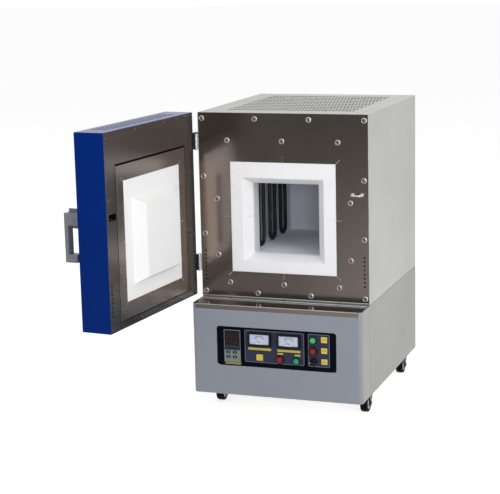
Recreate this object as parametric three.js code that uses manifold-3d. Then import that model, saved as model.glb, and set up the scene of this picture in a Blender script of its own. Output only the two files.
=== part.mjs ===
// A high-temperature box furnace: an insulated chamber with hanging heating elements behind a thick
// side-hung door, standing on a base that holds the power supply and the control panel, on four
// swivel casters. Millimetres, +Z up. Inside this file X runs to the right, Y to the back, and the
// zero point is the foot of the front plate, in the middle. The door is built closed and then opened.
import * as THREE from "three";
import * as BufferGeometryUtils from "three/addons/utils/BufferGeometryUtils.js";
import Module from "manifold-3d";

// Clearances and one overrun for cuts
const SEAT_GAP = 0.3;
const RUNNING_GAP = 0.5;
const OVERRUN = 5;

// Chamber, which sets the size of all that is built round it
const CHAMBER_WIDTH = 220;
const CHAMBER_DEPTH = 324;
const CHAMBER_HEIGHT = 200;
const CHAMBER_FOOT = 118;
const WALL_THICKNESS = 90;
const SIDE_WALL_THICKNESS = 80;
const WALL_REBATE = 15;
const CHAMBER_TOP = CHAMBER_FOOT + CHAMBER_HEIGHT;

// Fibre collar round the chamber mouth
const MOUTH_SIDE_LAP = 17;
const MOUTH_FOOT_RISE = 0.5;
const MOUTH_TOP_DROP = 4.5;
const RECESS_SIDE_FLARE = 22;
const RECESS_UPRIGHT_FLARE = 17.5;
const RECESS_DEPTH = 28;
const COLLAR_SIDE_WALL = 34;
const COLLAR_FOOT_WALL = 31;
const COLLAR_TOP_WALL = 43;
const COLLAR_DEPTH = 72;
const RELIEF_SLIT_LENGTH = 16;
const RELIEF_SLIT_WIDTH = 1.6;
const MOUTH_WIDTH = CHAMBER_WIDTH - 2 * MOUTH_SIDE_LAP;
const MOUTH_FOOT = CHAMBER_FOOT + MOUTH_FOOT_RISE;
const MOUTH_TOP = CHAMBER_TOP - MOUTH_TOP_DROP;
const RECESS_WIDTH = MOUTH_WIDTH + 2 * RECESS_SIDE_FLARE;
const RECESS_FOOT = MOUTH_FOOT - RECESS_UPRIGHT_FLARE;
const RECESS_TOP = MOUTH_TOP + RECESS_UPRIGHT_FLARE;
const COLLAR_WIDTH = RECESS_WIDTH + 2 * COLLAR_SIDE_WALL;
const COLLAR_FOOT = RECESS_FOOT - COLLAR_FOOT_WALL;
const COLLAR_TOP = RECESS_TOP + COLLAR_TOP_WALL;

// Upper cabinet
const SIDE_AIR_GAP = 50;
const ROOF_AIR_GAP = 99;
const REAR_AIR_GAP = 40;
const CABINET_WIDTH = CHAMBER_WIDTH + 2 * (SIDE_WALL_THICKNESS + SIDE_AIR_GAP);
const CABINET_HEIGHT = CHAMBER_TOP + WALL_THICKNESS + ROOF_AIR_GAP;
const CABINET_DEPTH = COLLAR_DEPTH + CHAMBER_DEPTH + WALL_THICKNESS + REAR_AIR_GAP;
const CASING_SHEET = 1.5;
const TOP_RETURN_WIDTH = 26;
const FRONT_PLATE_THICKNESS = 2;
const TOP_FIELD_SIDE_MARGIN = 32.35;
const TOP_FIELD_FRONT_MARGIN = 59.6;
const TOP_FIELD_BACK_MARGIN = 54.9;
const TOP_OPENINGS_PER_ROW = 12;
const TOP_OPENING_SHARE = 0.65;

// Base
const BASE_HEIGHT = 251;
const BASE_FRONT_REACH = 82;
const BASE_CORNER_RADIUS = 11;
const SEAM_GAP = 1;
const DECK_THICKNESS = 2;
const DECK_DROP = 6;
const DECK_LIP_HEIGHT = 11;
const TRAY_RIM_HEIGHT = 14;
const SILL_LEG_HEIGHT = 5.7;
const SILL_LEG_REACH = 13;
const SILL_SHEET = 1.5;
const SILL_END_INSET = 3;

// Screws in the front plate
const SCREW_HEAD_RADIUS = 6.3;
const SCREW_HEAD_HEIGHT = 3;
const SCREW_EDGE_INSET = 13.5;
const SCREW_TOP_INSET = 16;
const SCREW_BOTTOM_INSET = 12;
const SCREW_END_INSET = 12;
const SCREW_SIDE_HIGH_DROP = 175;
const SCREW_SIDE_LOW = 173;
const INNER_SCREW_CORNER_MARGIN = 7;
const INNER_SCREW_TOP_MARGIN = 58;
const INNER_SCREW_BOTTOM_MARGIN = 31;
const INNER_SCREW_SIDE_MARGIN = 40;
const INNER_SCREW_HIGH_DROP = 103;
const INNER_SCREW_LOW_RISE = 45;

// Vent holes in the front plate and in the door's inner plate
const VENT_HOLE_RADIUS = 2.6;
const VENT_HOLE_PITCH = 11.3;
const VENT_HOLE_COUNT = 8;
const VENT_HOLE_FIRST_HEIGHT = 45.5;
const VENT_HOLE_SIDE_INSET = 13.5;

// Heating elements, hung in pairs of legs along both side walls
const ELEMENTS_PER_SIDE = 3;
const ELEMENT_FIRST_DEPTH = 103;
const ELEMENT_PITCH = 95;
const ELEMENT_LEG_SPACING = 42;
const ELEMENT_WALL_DISTANCE = 12;
const ELEMENT_ROD_RADIUS = 5.2;
const ELEMENT_FOOT_CLEARANCE = 5;
const ELEMENT_END_RADIUS = 7;
const ELEMENT_END_INSIDE_ROOF = 20;
const ELEMENT_END_ABOVE_ROOF = 58;
const HOLDER_LENGTH = 70;
const HOLDER_WIDTH = 24;
const HOLDER_HEIGHT = 14;

// Thermocouple through the roof
const PROBE_RADIUS = 4;
const PROBE_DEPTH = 260;
const PROBE_REACH = 26;
const PROBE_HEAD_RADIUS = 17;
const PROBE_HEAD_HEIGHT = 34;

// Control panel window
const WINDOW_WIDTH = 339;
const WINDOW_TOP_DROP = 65.6;
const WINDOW_HEIGHT = 109;
const WINDOW_CORNER_RADIUS = 8;
const PANEL_OVERLAP = 8;
const PANEL_THICKNESS = 2.5;

// Temperature controller
const CONTROLLER_WIDTH = 48;
const CONTROLLER_HEIGHT = 96;
const CONTROLLER_CENTRE = -123.5;
const CONTROLLER_TOP_DROP = 73;
const CONTROLLER_BEZEL = 5;
const CONTROLLER_BODY_WIDTH = 44.5;
const CONTROLLER_BODY_HEIGHT = 91.5;
const CONTROLLER_BODY_DEPTH = 80;
const DISPLAY_SIDE_MARGIN = 3;
const DISPLAY_TOP_MARGIN = 4;
const DISPLAY_HEIGHT = 53;
const DISPLAY_RECESS = 1;
const KEY_WIDTH = 12;
const KEY_HEIGHT = 7;
const KEY_SPACING_ACROSS = 19;
const KEY_SPACING_DOWN = 12.8;
const KEY_TOP_ROW_DROP = 136.3;
const KEY_POCKET_DEPTH = 3;
const KEY_PROUD = 1;
const KEY_TRAVEL = 1;

// Two panel meters
const METER_WIDTH = 65;
const METER_HEIGHT = 36.5;
const METER_TOP_DROP = 78.2;
const METER_BEZEL = 9;
const METER_CENTRES = [-45.5, 37.3];
const METER_FACE_WIDTH = 55;
const METER_FACE_HEIGHT = 27.6;
const METER_FACE_TOP_MARGIN = 3.4;
const METER_FACE_RECESS = 5;
const METER_CAN_RADIUS = 14;
const METER_CAN_DEPTH = 36;
const NEEDLE_LENGTH = 19;
const NEEDLE_WIDTH = 1.2;
const NEEDLE_THICKNESS = 0.8;
const NEEDLE_HUB_RADIUS = 2.5;
const NEEDLE_LIFT = 1.5;
const NEEDLE_AXLE_RADIUS = 0.8;
const NEEDLE_REST_DEGREES = 45;

// Push-buttons and selector knob
const BUTTON_RADIUS = 10.2;
const BUTTON_CAP_THICKNESS = 5;
const BUTTON_TRAVEL = 3;
const BUTTON_STEM_RADIUS = 5;
const BUTTON_STEM_LENGTH = 22;
const BUTTON_COLLAR_WALL = 2;
const BUTTON_COLLAR_HEIGHT = 4;
const LARGE_RED_BUTTON = [10.9, 148.4];
const LARGE_GREEN_BUTTON = [58.3, 149.5];
const SMALL_GREEN_BUTTON = [105.4, 88.4];
const SMALL_RED_BUTTON = [105.4, 118.8];
const KNOB_PLACE = [106.4, 147.4];
const KNOB_RADIUS = 10;
const KNOB_HEIGHT = 12;
const KNOB_GRIP_WIDTH = 6;
const KNOB_GRIP_HEIGHT = 5;
const KNOB_STEM_RADIUS = 3;
const KNOB_STEM_LENGTH = 14;

// Power supply in the base
const TRANSFORMER_WIDTH = 150;
const TRANSFORMER_DEPTH = 110;
const TRANSFORMER_HEIGHT = 130;
const TRANSFORMER_COIL_BULGE = 16;
const TRANSFORMER_CENTRE_X = -110;
const TRANSFORMER_CENTRE_Y = 270;
const TRANSFORMER_FOOT_HEIGHT = 8;
const REGULATOR_WIDTH = 120;
const REGULATOR_DEPTH = 130;
const REGULATOR_HEIGHT = 90;
const REGULATOR_FIN_HEIGHT = 40;
const REGULATOR_FIN_COUNT = 9;
const REGULATOR_CENTRE_X = 110;
const REGULATOR_CENTRE_Y = 290;
const GLAND_RADIUS = 11;
const GLAND_NUT_RADIUS = 15;
const GLAND_NUT_LENGTH = 6;
const GLAND_LENGTH = 20;
const GLAND_BORE_RADIUS = 6;
const GLAND_X = 150;
const GLAND_HEIGHT_SHARE = 0.25;

// Casters
const CASTER_HEIGHT = 62;
const CASTER_SIDE_INSET = 29;
const CASTER_FRONT_Y = 79;
const CASTER_BACK_INSET = 48;
const CASTER_TRAIL = 22;
const CASTER_PLATE_SIZE = 48;
const CASTER_PLATE_THICKNESS = 3;
const KINGPIN_RADIUS = 5;
const KINGPIN_HEAD_RADIUS = 8;
const KINGPIN_HEAD_HEIGHT = 1.6;
const CROWN_RADIUS = 17;
const CROWN_THICKNESS = 4;
const WHEEL_RADIUS = 25;
const WHEEL_WIDTH = 21;
const WHEEL_HUB_RADIUS = 15;
const WHEEL_HUB_DISH = 3;
const WHEEL_TREAD_CHAMFER = 3;
const WHEEL_BORE_RADIUS = 4.5;
const AXLE_RADIUS = 4;
const AXLE_HEAD_RADIUS = 6.5;
const AXLE_HEAD_HEIGHT = 3.5;
const FORK_CHEEK_THICKNESS = 2.5;
const FORK_CHEEK_WIDTH = 20;

// Door
const DOOR_FOOT = 1.5;
const DOOR_HEIGHT = CABINET_HEIGHT - DOOR_FOOT;
const DOOR_DEPTH = 82.7;
const DOOR_SHEET = 1.5;
const DOOR_GAP = 4;
const DOOR_OPEN_DEGREES = 95.1;
const PLUG_BASE_GAP = 3.5;
const PLUG_FRONT_SIDE_GAP = 4;
const PLUG_FRONT_UPRIGHT_GAP = 2.5;
const PLUG_REACH = 31;
const SLAB_SIDE_LAP = 1;
const SLAB_FOOT_LAP = 4;
const SLAB_TOP_LAP = 3;
const SLAB_DEPTH = 60;
const PLUG_PLATE_SIDE_MARGIN = 36;
const PLUG_PLATE_FOOT_INSET = 20.5;
const PLUG_PLATE_TOP_INSET = 89;
const PLUG_PLATE_SIDE_GAP = 2.5;
const PLUG_PLATE_TOP_GAP = 5;
const PLUG_TRAY_DEPTH = 30;
const PLUG_BASE_WIDTH = RECESS_WIDTH - 2 * PLUG_BASE_GAP;
const PLUG_BASE_FOOT = RECESS_FOOT + PLUG_BASE_GAP;
const PLUG_BASE_TOP = RECESS_TOP - PLUG_BASE_GAP;
const PLUG_FRONT_WIDTH = MOUTH_WIDTH - 2 * PLUG_FRONT_SIDE_GAP;
const PLUG_FRONT_FOOT = MOUTH_FOOT + PLUG_FRONT_UPRIGHT_GAP;
const PLUG_FRONT_TOP = MOUTH_TOP - PLUG_FRONT_UPRIGHT_GAP;
const SLAB_WIDTH = COLLAR_WIDTH + 2 * SLAB_SIDE_LAP;
const SLAB_FOOT = COLLAR_FOOT - SLAB_FOOT_LAP;
const SLAB_TOP = COLLAR_TOP + SLAB_TOP_LAP;
const PLUG_PLATE_WIDTH = SLAB_WIDTH + 2 * PLUG_PLATE_SIDE_MARGIN;
const PLUG_PLATE_FOOT = DOOR_FOOT + PLUG_PLATE_FOOT_INSET;
const PLUG_PLATE_TOP = DOOR_FOOT + DOOR_HEIGHT - PLUG_PLATE_TOP_INSET;

// Hinges
const HINGE_SIDE_OFFSET = 6.5;
const HINGE_BACK_OFFSET = 2;
const HINGE_RADIUS = 4.5;
const HINGE_PIN_RADIUS = 2.2;
const HINGE_HEIGHT = 46;
const HINGE_KNUCKLES = 6;
const HINGE_LEAF_THICKNESS = 2.5;
const HINGE_LEAF_REACH = 32;
const HINGE_TOP_INSET = 79;
const HINGE_FOOT_INSET = 89.5;
const HINGE_CENTRES = [CABINET_HEIGHT - HINGE_TOP_INSET, DOOR_FOOT + HINGE_FOOT_INSET];
const HINGE_CAP_HEIGHT = 2;
const HINGE_CAP_RADIUS = 3.4;

// Keeper on the front plate and the latch on the door, placed from the keeper's middle
const KEEPER_SIDE_MARGIN = 22.7;
const KEEPER_RISE = 176;
const KEEPER_X = PLUG_PLATE_WIDTH / 2 + KEEPER_SIDE_MARGIN;
const KEEPER_HEIGHT = CHAMBER_FOOT + KEEPER_RISE;
const KEEPER_SPREAD = 25.4;
const KEEPER_ROD_RADIUS = 2.5;
const KEEPER_REACH = 19;
const KEEPER_TAIL = 9;
const KEEPER_NUT_RADIUS = 4.6;
const KEEPER_NUT_HEIGHT = 3;
const SLOT_LEFT_REACH = 16.7;
const SLOT_RIGHT_REACH = 18.3;
const SLOT_DROP = 9;
const SLOT_RISE = 8;
const LATCH_SLOT_LEFT = KEEPER_X - SLOT_LEFT_REACH;
const LATCH_SLOT_RIGHT = KEEPER_X + SLOT_RIGHT_REACH;
const LATCH_SLOT_FOOT = KEEPER_HEIGHT - SLOT_DROP;
const LATCH_SLOT_TOP = KEEPER_HEIGHT + SLOT_RISE;
const LATCH_PIVOT_DROP = 12;
const LATCH_PIVOT_STANDOFF = 25;
const LATCH_PIN_RADIUS = 4;
const LATCH_PIVOT_HEIGHT = KEEPER_HEIGHT - LATCH_PIVOT_DROP;
const LEVER_LEFT_REACH = 8.2;
const LEVER_THICKNESS = 24;
const LEVER_REACH = 48.7;
const LEVER_FOOT_DROP = 119;
const LEVER_TOP_RISE = 7;
const LEVER_BAR = 10;
const LEVER_HEAD_HEIGHT = 31;
const LEVER_TAIL_HEIGHT = 21;
const LEVER_HEAD_STANDOFF = 9.5;
const LEVER_TAIL_STANDOFF = 15;
const LEVER_LEFT = KEEPER_X - LEVER_LEFT_REACH;
const LEVER_FOOT = KEEPER_HEIGHT - LEVER_FOOT_DROP;
const LEVER_TOP = KEEPER_HEIGHT + LEVER_TOP_RISE;
const LEVER_HEAD_FOOT = LEVER_TOP - LEVER_HEAD_HEIGHT;
const LEVER_TAIL_TOP = LEVER_FOOT + LEVER_TAIL_HEIGHT;
const HOOK_WIDTH = 11;
const HOOK_ARM_DROP = 14;
const HOOK_ARM_HEIGHT = 10;
const HOOK_CLAW_DROP = 4.5;
const HOOK_CLAW_INSET = 4;
const HOOK_CLAW_THICKNESS = 6.5;
const HOOK_SLOT_DROP = 42;
const HOOK_SLOT_SIDE_GAP = 3;
const HOOK_ARM_TOP = KEEPER_HEIGHT - HOOK_ARM_DROP;
const HOOK_ARM_FOOT = HOOK_ARM_TOP - HOOK_ARM_HEIGHT;
const HOOK_CLAW_TOP = KEEPER_HEIGHT - HOOK_CLAW_DROP;
const HOOK_SLOT_FOOT = KEEPER_HEIGHT - HOOK_SLOT_DROP;
const HOOK_SLOT_TOP = KEEPER_HEIGHT;
const BRACKET_PLATE_LEFT_REACH = 24.7;
const BRACKET_PLATE_RIGHT_REACH = 25.3;
const BRACKET_PLATE_DROP = 50;
const BRACKET_PLATE_RISE = 20;
const BRACKET_SHEET = 2;
const BRACKET_CHEEK_THICKNESS = 4;
const BRACKET_CHEEK_DROP = 36;
const BRACKET_CHEEK_RISE = 15;
const BRACKET_CHEEK_REACH = 48.4;
const BRACKET_PLATE_LEFT = KEEPER_X - BRACKET_PLATE_LEFT_REACH;
const BRACKET_PLATE_RIGHT = KEEPER_X + BRACKET_PLATE_RIGHT_REACH;
const BRACKET_PLATE_FOOT = KEEPER_HEIGHT - BRACKET_PLATE_DROP;
const BRACKET_PLATE_TOP = KEEPER_HEIGHT + BRACKET_PLATE_RISE;
const BRACKET_CHEEK_FOOT = KEEPER_HEIGHT - BRACKET_CHEEK_DROP;
const BRACKET_CHEEK_TOP = KEEPER_HEIGHT + BRACKET_CHEEK_RISE;
const LATCH_CAVITY_LEFT_REACH = 18.7;
const LATCH_CAVITY_DROP = 62;
const LATCH_CAVITY_RISE = 18;
const LATCH_CAVITY_LEFT = KEEPER_X - LATCH_CAVITY_LEFT_REACH;
const LATCH_CAVITY_FOOT = KEEPER_HEIGHT - LATCH_CAVITY_DROP;
const LATCH_CAVITY_TOP = KEEPER_HEIGHT + LATCH_CAVITY_RISE;

// How finely round shapes are divided
const ROD_SIDES = 12;
const ROUND_SIDES = 24;
const WHEEL_SIDES = 28;
const CORNER_STEPS = 5;

// Places that follow from the sizes above
const HALF_WIDTH = CABINET_WIDTH / 2;
const CASTER_X = HALF_WIDTH - CASTER_SIDE_INSET;
const CASTER_BACK_Y = CABINET_DEPTH - CASTER_BACK_INSET;
const LEDGE_BACK = -SILL_LEG_REACH - 2 * SEAT_GAP;
const BASE_TOP = -DECK_DROP;
const BASE_FOOT = BASE_TOP - BASE_HEIGHT;
const FLOOR = BASE_FOOT - CASTER_HEIGHT;
const DECK_FOOT = BASE_TOP - DECK_THICKNESS;
const CHAMBER_BACK = COLLAR_DEPTH + CHAMBER_DEPTH;
const BOARD_TOP = CHAMBER_TOP + WALL_THICKNESS;
const BOARD_BACK = CHAMBER_BACK + WALL_THICKNESS;
const BOARD_HALF_WIDTH = CHAMBER_WIDTH / 2 + SIDE_WALL_THICKNESS;
const PANEL_FACE = -BASE_FRONT_REACH + CASING_SHEET + SEAT_GAP;
const WHEEL_CENTRE_HEIGHT = FLOOR + WHEEL_RADIUS;
const HINGE_X = -HALF_WIDTH - HINGE_SIDE_OFFSET;
const LATCH_PIVOT_DEPTH = DOOR_DEPTH + LATCH_PIVOT_STANDOFF;

const wasm = await Module();
wasm.setup();

// Finishes
const finish = (name, color, roughness, metalness) =>
  new THREE.MeshStandardMaterial({ name, color, roughness, metalness });
const WARM_GREY_PAINT = finish("warm grey paint", 0xb9bab3, 0.45, 0);
const LILAC_GREY_PAINT = finish("lilac grey paint", 0x858894, 0.45, 0);
const BLUE_PAINT = finish("blue paint", 0x042878, 0.35, 0);
const STAINLESS = finish("stainless steel", 0x7c7670, 0.3, 1);
const ZINC = finish("zinc plated steel", 0x9a9a98, 0.35, 1);
const FIBRE = finish("ceramic fibre", 0xebebee, 0.95, 0);
const CHAMBER_BOARD = finish("used chamber board", 0x97989a, 0.95, 0);
const ELEMENT_DARK = finish("heating element", 0x2a2624, 0.6, 0.4);
const PANEL_BLACK = finish("black panel", 0x14161c, 0.25, 0);
const BLACK_PLASTIC = finish("black plastic", 0x17181a, 0.5, 0);
const KEY_GREY = finish("grey key", 0x5c6468, 0.5, 0);
const RED_PLASTIC = finish("red plastic", 0xb01a1c, 0.35, 0);
const GREEN_PLASTIC = finish("green plastic", 0x127a45, 0.35, 0);
const GREY_HANDLE = finish("grey coated steel", 0x7b7c84, 0.4, 0.3);
const BLACK_STEEL = finish("black steel", 0x1c1d1f, 0.45, 0.5);
const TYRE_BLACK = finish("caster wheel", 0x141416, 0.6, 0);
const COPPER_AND_IRON = finish("transformer", 0x6b5546, 0.6, 0.4);
const ALUMINIUM = finish("aluminium", 0xb4b6b8, 0.35, 1);

// Solid helpers. Each makes a closed body from a three.js geometry.
function toSolid(geometry) {
  const bare = geometry.clone();
  bare.deleteAttribute("normal");
  bare.deleteAttribute("uv");
  const merged = BufferGeometryUtils.mergeVertices(bare);
  const corners = merged.index.array;
  const kept = [];
  for (let i = 0; i < corners.length; i += 3) {
    const [a, b, c] = [corners[i], corners[i + 1], corners[i + 2]];
    if (a !== b && b !== c && c !== a) kept.push(a, b, c);
  }
  return new wasm.Manifold(new wasm.Mesh({
    numProp: 3,
    vertProperties: Float32Array.from(merged.attributes.position.array),
    triVerts: Uint32Array.from(kept),
  }));
}

function join(first, ...others) {
  return others.reduce((whole, other) => whole.add(other), first);
}

function cut(first, ...tools) {
  return tools.reduce((whole, tool) => whole.subtract(tool), first);
}

function block(x0, x1, y0, y1, z0, z1) {
  const geometry = new THREE.BoxGeometry(x1 - x0, y1 - y0, z1 - z0);
  geometry.translate((x0 + x1) / 2, (y0 + y1) / 2, (z0 + z1) / 2);
  return toSolid(geometry);
}

// A rod along one axis, from one place on it to another, through a point given by the other two axes
function rod(axis, radius, from, to, across, up, sides = ROD_SIDES) {
  const geometry = new THREE.CylinderGeometry(radius, radius, to - from, sides);
  const middle = (from + to) / 2;
  if (axis === "x") geometry.rotateZ(-Math.PI / 2).translate(middle, across, up);
  if (axis === "y") geometry.translate(across, middle, up);
  if (axis === "z") geometry.rotateX(Math.PI / 2).translate(across, up, middle);
  return toSolid(geometry);
}

// A turned body round the Y axis of a profile of [radius, place along Y] points
function turned(profile, x, z, sides = ROUND_SIDES) {
  const points = profile.map(([radius, along]) => new THREE.Vector2(radius, along));
  const geometry = new THREE.LatheGeometry(points, sides).translate(x, 0, z);
  return toSolid(geometry);
}

// Prisms of an outline drawn in X and Y, in X and Z, or in Y and Z
function prismXY(shape, z0, z1) {
  const geometry = new THREE.ExtrudeGeometry(shape, prismOptions(z1 - z0));
  return toSolid(geometry.translate(0, 0, z0));
}

function prismXZ(shape, y0, y1) {
  const geometry = new THREE.ExtrudeGeometry(shape, prismOptions(y1 - y0));
  return toSolid(geometry.rotateX(Math.PI / 2).translate(0, y1, 0));
}

function prismYZ(shape, x0, x1) {
  const turn = new THREE.Matrix4().makeBasis(
    new THREE.Vector3(0, 1, 0), new THREE.Vector3(0, 0, 1), new THREE.Vector3(1, 0, 0));
  const geometry = new THREE.ExtrudeGeometry(shape, prismOptions(x1 - x0));
  return toSolid(geometry.applyMatrix4(turn).translate(x0, 0, 0));
}

function prismOptions(depth) {
  return { depth, steps: 1, bevelEnabled: false, curveSegments: CORNER_STEPS };
}

function outline(points) {
  return new THREE.Shape(points.map(([a, b]) => new THREE.Vector2(a, b)));
}

function roundedRectangle(x0, x1, z0, z1, radius) {
  const shape = new THREE.Shape();
  shape.moveTo(x0 + radius, z0);
  shape.lineTo(x1 - radius, z0);
  shape.absarc(x1 - radius, z0 + radius, radius, -Math.PI / 2, 0, false);
  shape.absarc(x1 - radius, z1 - radius, radius, 0, Math.PI / 2, false);
  shape.absarc(x0 + radius, z1 - radius, radius, Math.PI / 2, Math.PI, false);
  shape.absarc(x0 + radius, z0 + radius, radius, Math.PI, Math.PI * 1.5, false);
  return shape;
}

// A body that tapers along Y from one rectangle to another, each [x0, x1, z0, z1]
function taper(y0, near, y1, far) {
  const ring = ([x0, x1, z0, z1], y) => [x0, y, z0, x1, y, z0, x1, y, z1, x0, y, z1];
  const faces = [0, 1, 2, 0, 2, 3, 4, 6, 5, 4, 7, 6, 0, 5, 1, 0, 4, 5, 1, 6, 2, 1, 5, 6,
    2, 7, 3, 2, 6, 7, 3, 4, 0, 3, 7, 4];
  const geometry = new THREE.BufferGeometry();
  const places = [...ring(near, y0), ...ring(far, y1)];
  geometry.setAttribute("position", new THREE.Float32BufferAttribute(places, 3));
  geometry.setIndex(faces);
  return toSolid(geometry);
}

function mirrored(solid) {
  return solid.mirror([1, 0, 0]);
}

// Turns a finished solid into a named mesh in a group
function piece(group, name, solid, material) {
  const mesh = solid.getMesh();
  const geometry = new THREE.BufferGeometry();
  geometry.setAttribute("position", new THREE.Float32BufferAttribute(mesh.vertProperties, 3));
  geometry.setIndex(Array.from(mesh.triVerts));
  geometry.computeVertexNormals();
  const result = new THREE.Mesh(geometry, material.clone());
  result.name = name;
  group.add(result);
  return result;
}

// The base's outline seen from above, with rounded front corners, drawn in by an inset
function baseOutline(inset) {
  const side = HALF_WIDTH - inset;
  const front = -BASE_FRONT_REACH + inset;
  const back = CABINET_DEPTH - inset;
  const radius = BASE_CORNER_RADIUS - inset;
  const shape = new THREE.Shape();
  shape.moveTo(-side + radius, front);
  shape.lineTo(side - radius, front);
  shape.absarc(side - radius, front + radius, radius, -Math.PI / 2, 0, false);
  shape.lineTo(side, back);
  shape.lineTo(-side, back);
  shape.absarc(-side + radius, front + radius, radius, Math.PI, Math.PI * 1.5, false);
  return shape;
}

// Bottom tray of the base, with the four caster plates and their kingpins
function baseChassis() {
  const inset = CASING_SHEET + SEAT_GAP;
  const tray = cut(
    prismXY(baseOutline(inset), BASE_FOOT, BASE_FOOT + TRAY_RIM_HEIGHT),
    prismXY(baseOutline(inset + CASING_SHEET), BASE_FOOT + CASING_SHEET,
      BASE_FOOT + TRAY_RIM_HEIGHT + OVERRUN));
  return join(tray, ...casterPlaces().flatMap(({ x, y }) => {
    const half = CASTER_PLATE_SIZE / 2;
    const pinFoot = BASE_FOOT - CASTER_PLATE_THICKNESS - CROWN_THICKNESS - 2 * RUNNING_GAP;
    return [
      block(x - half, x + half, y - half, y + half,
        BASE_FOOT - CASTER_PLATE_THICKNESS, BASE_FOOT + CASING_SHEET / 2),
      rod("z", KINGPIN_RADIUS, pinFoot - KINGPIN_HEAD_HEIGHT, BASE_FOOT, x, y),
      rod("z", KINGPIN_HEAD_RADIUS, pinFoot - KINGPIN_HEAD_HEIGHT, pinFoot, x, y),
    ];
  }));
}

function casterPlaces() {
  return [
    { name: "front_left", x: -CASTER_X, y: CASTER_FRONT_Y },
    { name: "front_right", x: CASTER_X, y: CASTER_FRONT_Y },
    { name: "back_left", x: -CASTER_X, y: CASTER_BACK_Y },
    { name: "back_right", x: CASTER_X, y: CASTER_BACK_Y },
  ];
}

// Front cover of the base: one sheet bent round both front corners, with the panel window
function baseFrontPanel() {
  const wrap = cut(
    prismXY(baseOutline(0), BASE_FOOT, BASE_TOP),
    prismXY(baseOutline(CASING_SHEET), BASE_FOOT - OVERRUN, BASE_TOP + OVERRUN),
    block(-HALF_WIDTH - OVERRUN, HALF_WIDTH + OVERRUN, -SEAT_GAP, CABINET_DEPTH + OVERRUN,
      BASE_FOOT - OVERRUN, BASE_TOP + OVERRUN));
  const flat = HALF_WIDTH - BASE_CORNER_RADIUS + SEAT_GAP;
  const notch = block(-flat, flat, -BASE_FRONT_REACH - OVERRUN, -BASE_FRONT_REACH + CASING_SHEET + OVERRUN,
    DECK_FOOT - DECK_LIP_HEIGHT - SEAT_GAP, BASE_TOP + OVERRUN);
  const window = prismXZ(windowOutline(0, WINDOW_CORNER_RADIUS), -BASE_FRONT_REACH - OVERRUN,
    -BASE_FRONT_REACH + CASING_SHEET + OVERRUN);
  return cut(wrap, notch, window);
}

function windowOutline(margin, radius) {
  const half = WINDOW_WIDTH / 2 + margin;
  const top = -WINDOW_TOP_DROP + margin;
  return roundedRectangle(-half, half, top - WINDOW_HEIGHT - 2 * margin, top, radius);
}

// Sides, back and top of the base, one bent sheet, with the mains gland at the back. The top runs on
// under the sill, between the sides of the front cover.
function baseCasing() {
  const shell = cut(
    prismXY(baseOutline(0), BASE_FOOT, BASE_TOP),
    prismXY(baseOutline(CASING_SHEET), BASE_FOOT - OVERRUN, DECK_FOOT),
    block(-HALF_WIDTH - OVERRUN, HALF_WIDTH + OVERRUN, -BASE_FRONT_REACH - OVERRUN, 0,
      BASE_FOOT - OVERRUN, BASE_TOP + OVERRUN));
  const tongueSide = HALF_WIDTH - CASING_SHEET - SEAT_GAP;
  const tongue = block(-tongueSide, tongueSide, LEDGE_BACK + SEAT_GAP, CASING_SHEET, DECK_FOOT, BASE_TOP);
  const sheet = join(shell, tongue);
  const height = BASE_FOOT + BASE_HEIGHT * GLAND_HEIGHT_SHARE;
  const back = CABINET_DEPTH - CASING_SHEET;
  const gland = join(
    rod("y", GLAND_RADIUS, back, CABINET_DEPTH + GLAND_LENGTH, GLAND_X, height),
    rod("y", GLAND_NUT_RADIUS, back, CABINET_DEPTH + GLAND_NUT_LENGTH, GLAND_X, height, ROD_SIDES / 2));
  const bore = rod("y", GLAND_BORE_RADIUS, back - OVERRUN, CABINET_DEPTH + GLAND_LENGTH + OVERRUN,
    GLAND_X, height);
  return cut(join(sheet, gland), bore);
}

// Stainless ledge in front of the cabinet, with a folded lip along its front
function ledgePlate() {
  const inset = CASING_SHEET + SEAT_GAP;
  const flat = HALF_WIDTH - BASE_CORNER_RADIUS;
  const behind = block(-HALF_WIDTH - OVERRUN, HALF_WIDTH + OVERRUN, LEDGE_BACK, CABINET_DEPTH + OVERRUN,
    DECK_FOOT - OVERRUN, BASE_TOP + OVERRUN);
  return join(
    cut(prismXY(baseOutline(inset), DECK_FOOT, BASE_TOP), behind),
    block(-flat, flat, -BASE_FRONT_REACH, -BASE_FRONT_REACH + CASING_SHEET,
      DECK_FOOT - DECK_LIP_HEIGHT, BASE_TOP),
    block(-flat, flat, -BASE_FRONT_REACH, -BASE_FRONT_REACH + BASE_CORNER_RADIUS, DECK_FOOT, BASE_TOP));
}

// Angle strip along the foot of the front plate
function sillStrip() {
  const end = HALF_WIDTH - SILL_END_INSET;
  const foot = BASE_TOP + SEAT_GAP;
  return join(
    block(-end, end, -SEAT_GAP - SILL_SHEET, -SEAT_GAP, foot, foot + SILL_LEG_HEIGHT),
    block(-end, end, -SEAT_GAP - SILL_LEG_REACH, -SEAT_GAP, foot, foot + SILL_SHEET));
}

// Side sheet of the cabinet, bent over the top
function sidePanel() {
  const foot = BASE_TOP + SEAM_GAP;
  const behindPlate = FRONT_PLATE_THICKNESS + SEAT_GAP;
  return join(
    block(HALF_WIDTH - CASING_SHEET, HALF_WIDTH, 0, CABINET_DEPTH, foot, CABINET_HEIGHT),
    block(HALF_WIDTH - TOP_RETURN_WIDTH, HALF_WIDTH, behindPlate, CABINET_DEPTH,
      CABINET_HEIGHT - CASING_SHEET, CABINET_HEIGHT));
}

function rearPanel() {
  const side = HALF_WIDTH - CASING_SHEET - SEAT_GAP;
  return block(-side, side, CABINET_DEPTH - CASING_SHEET, CABINET_DEPTH,
    BASE_TOP + SEAT_GAP, CABINET_HEIGHT - CASING_SHEET - SEAT_GAP);
}

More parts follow.
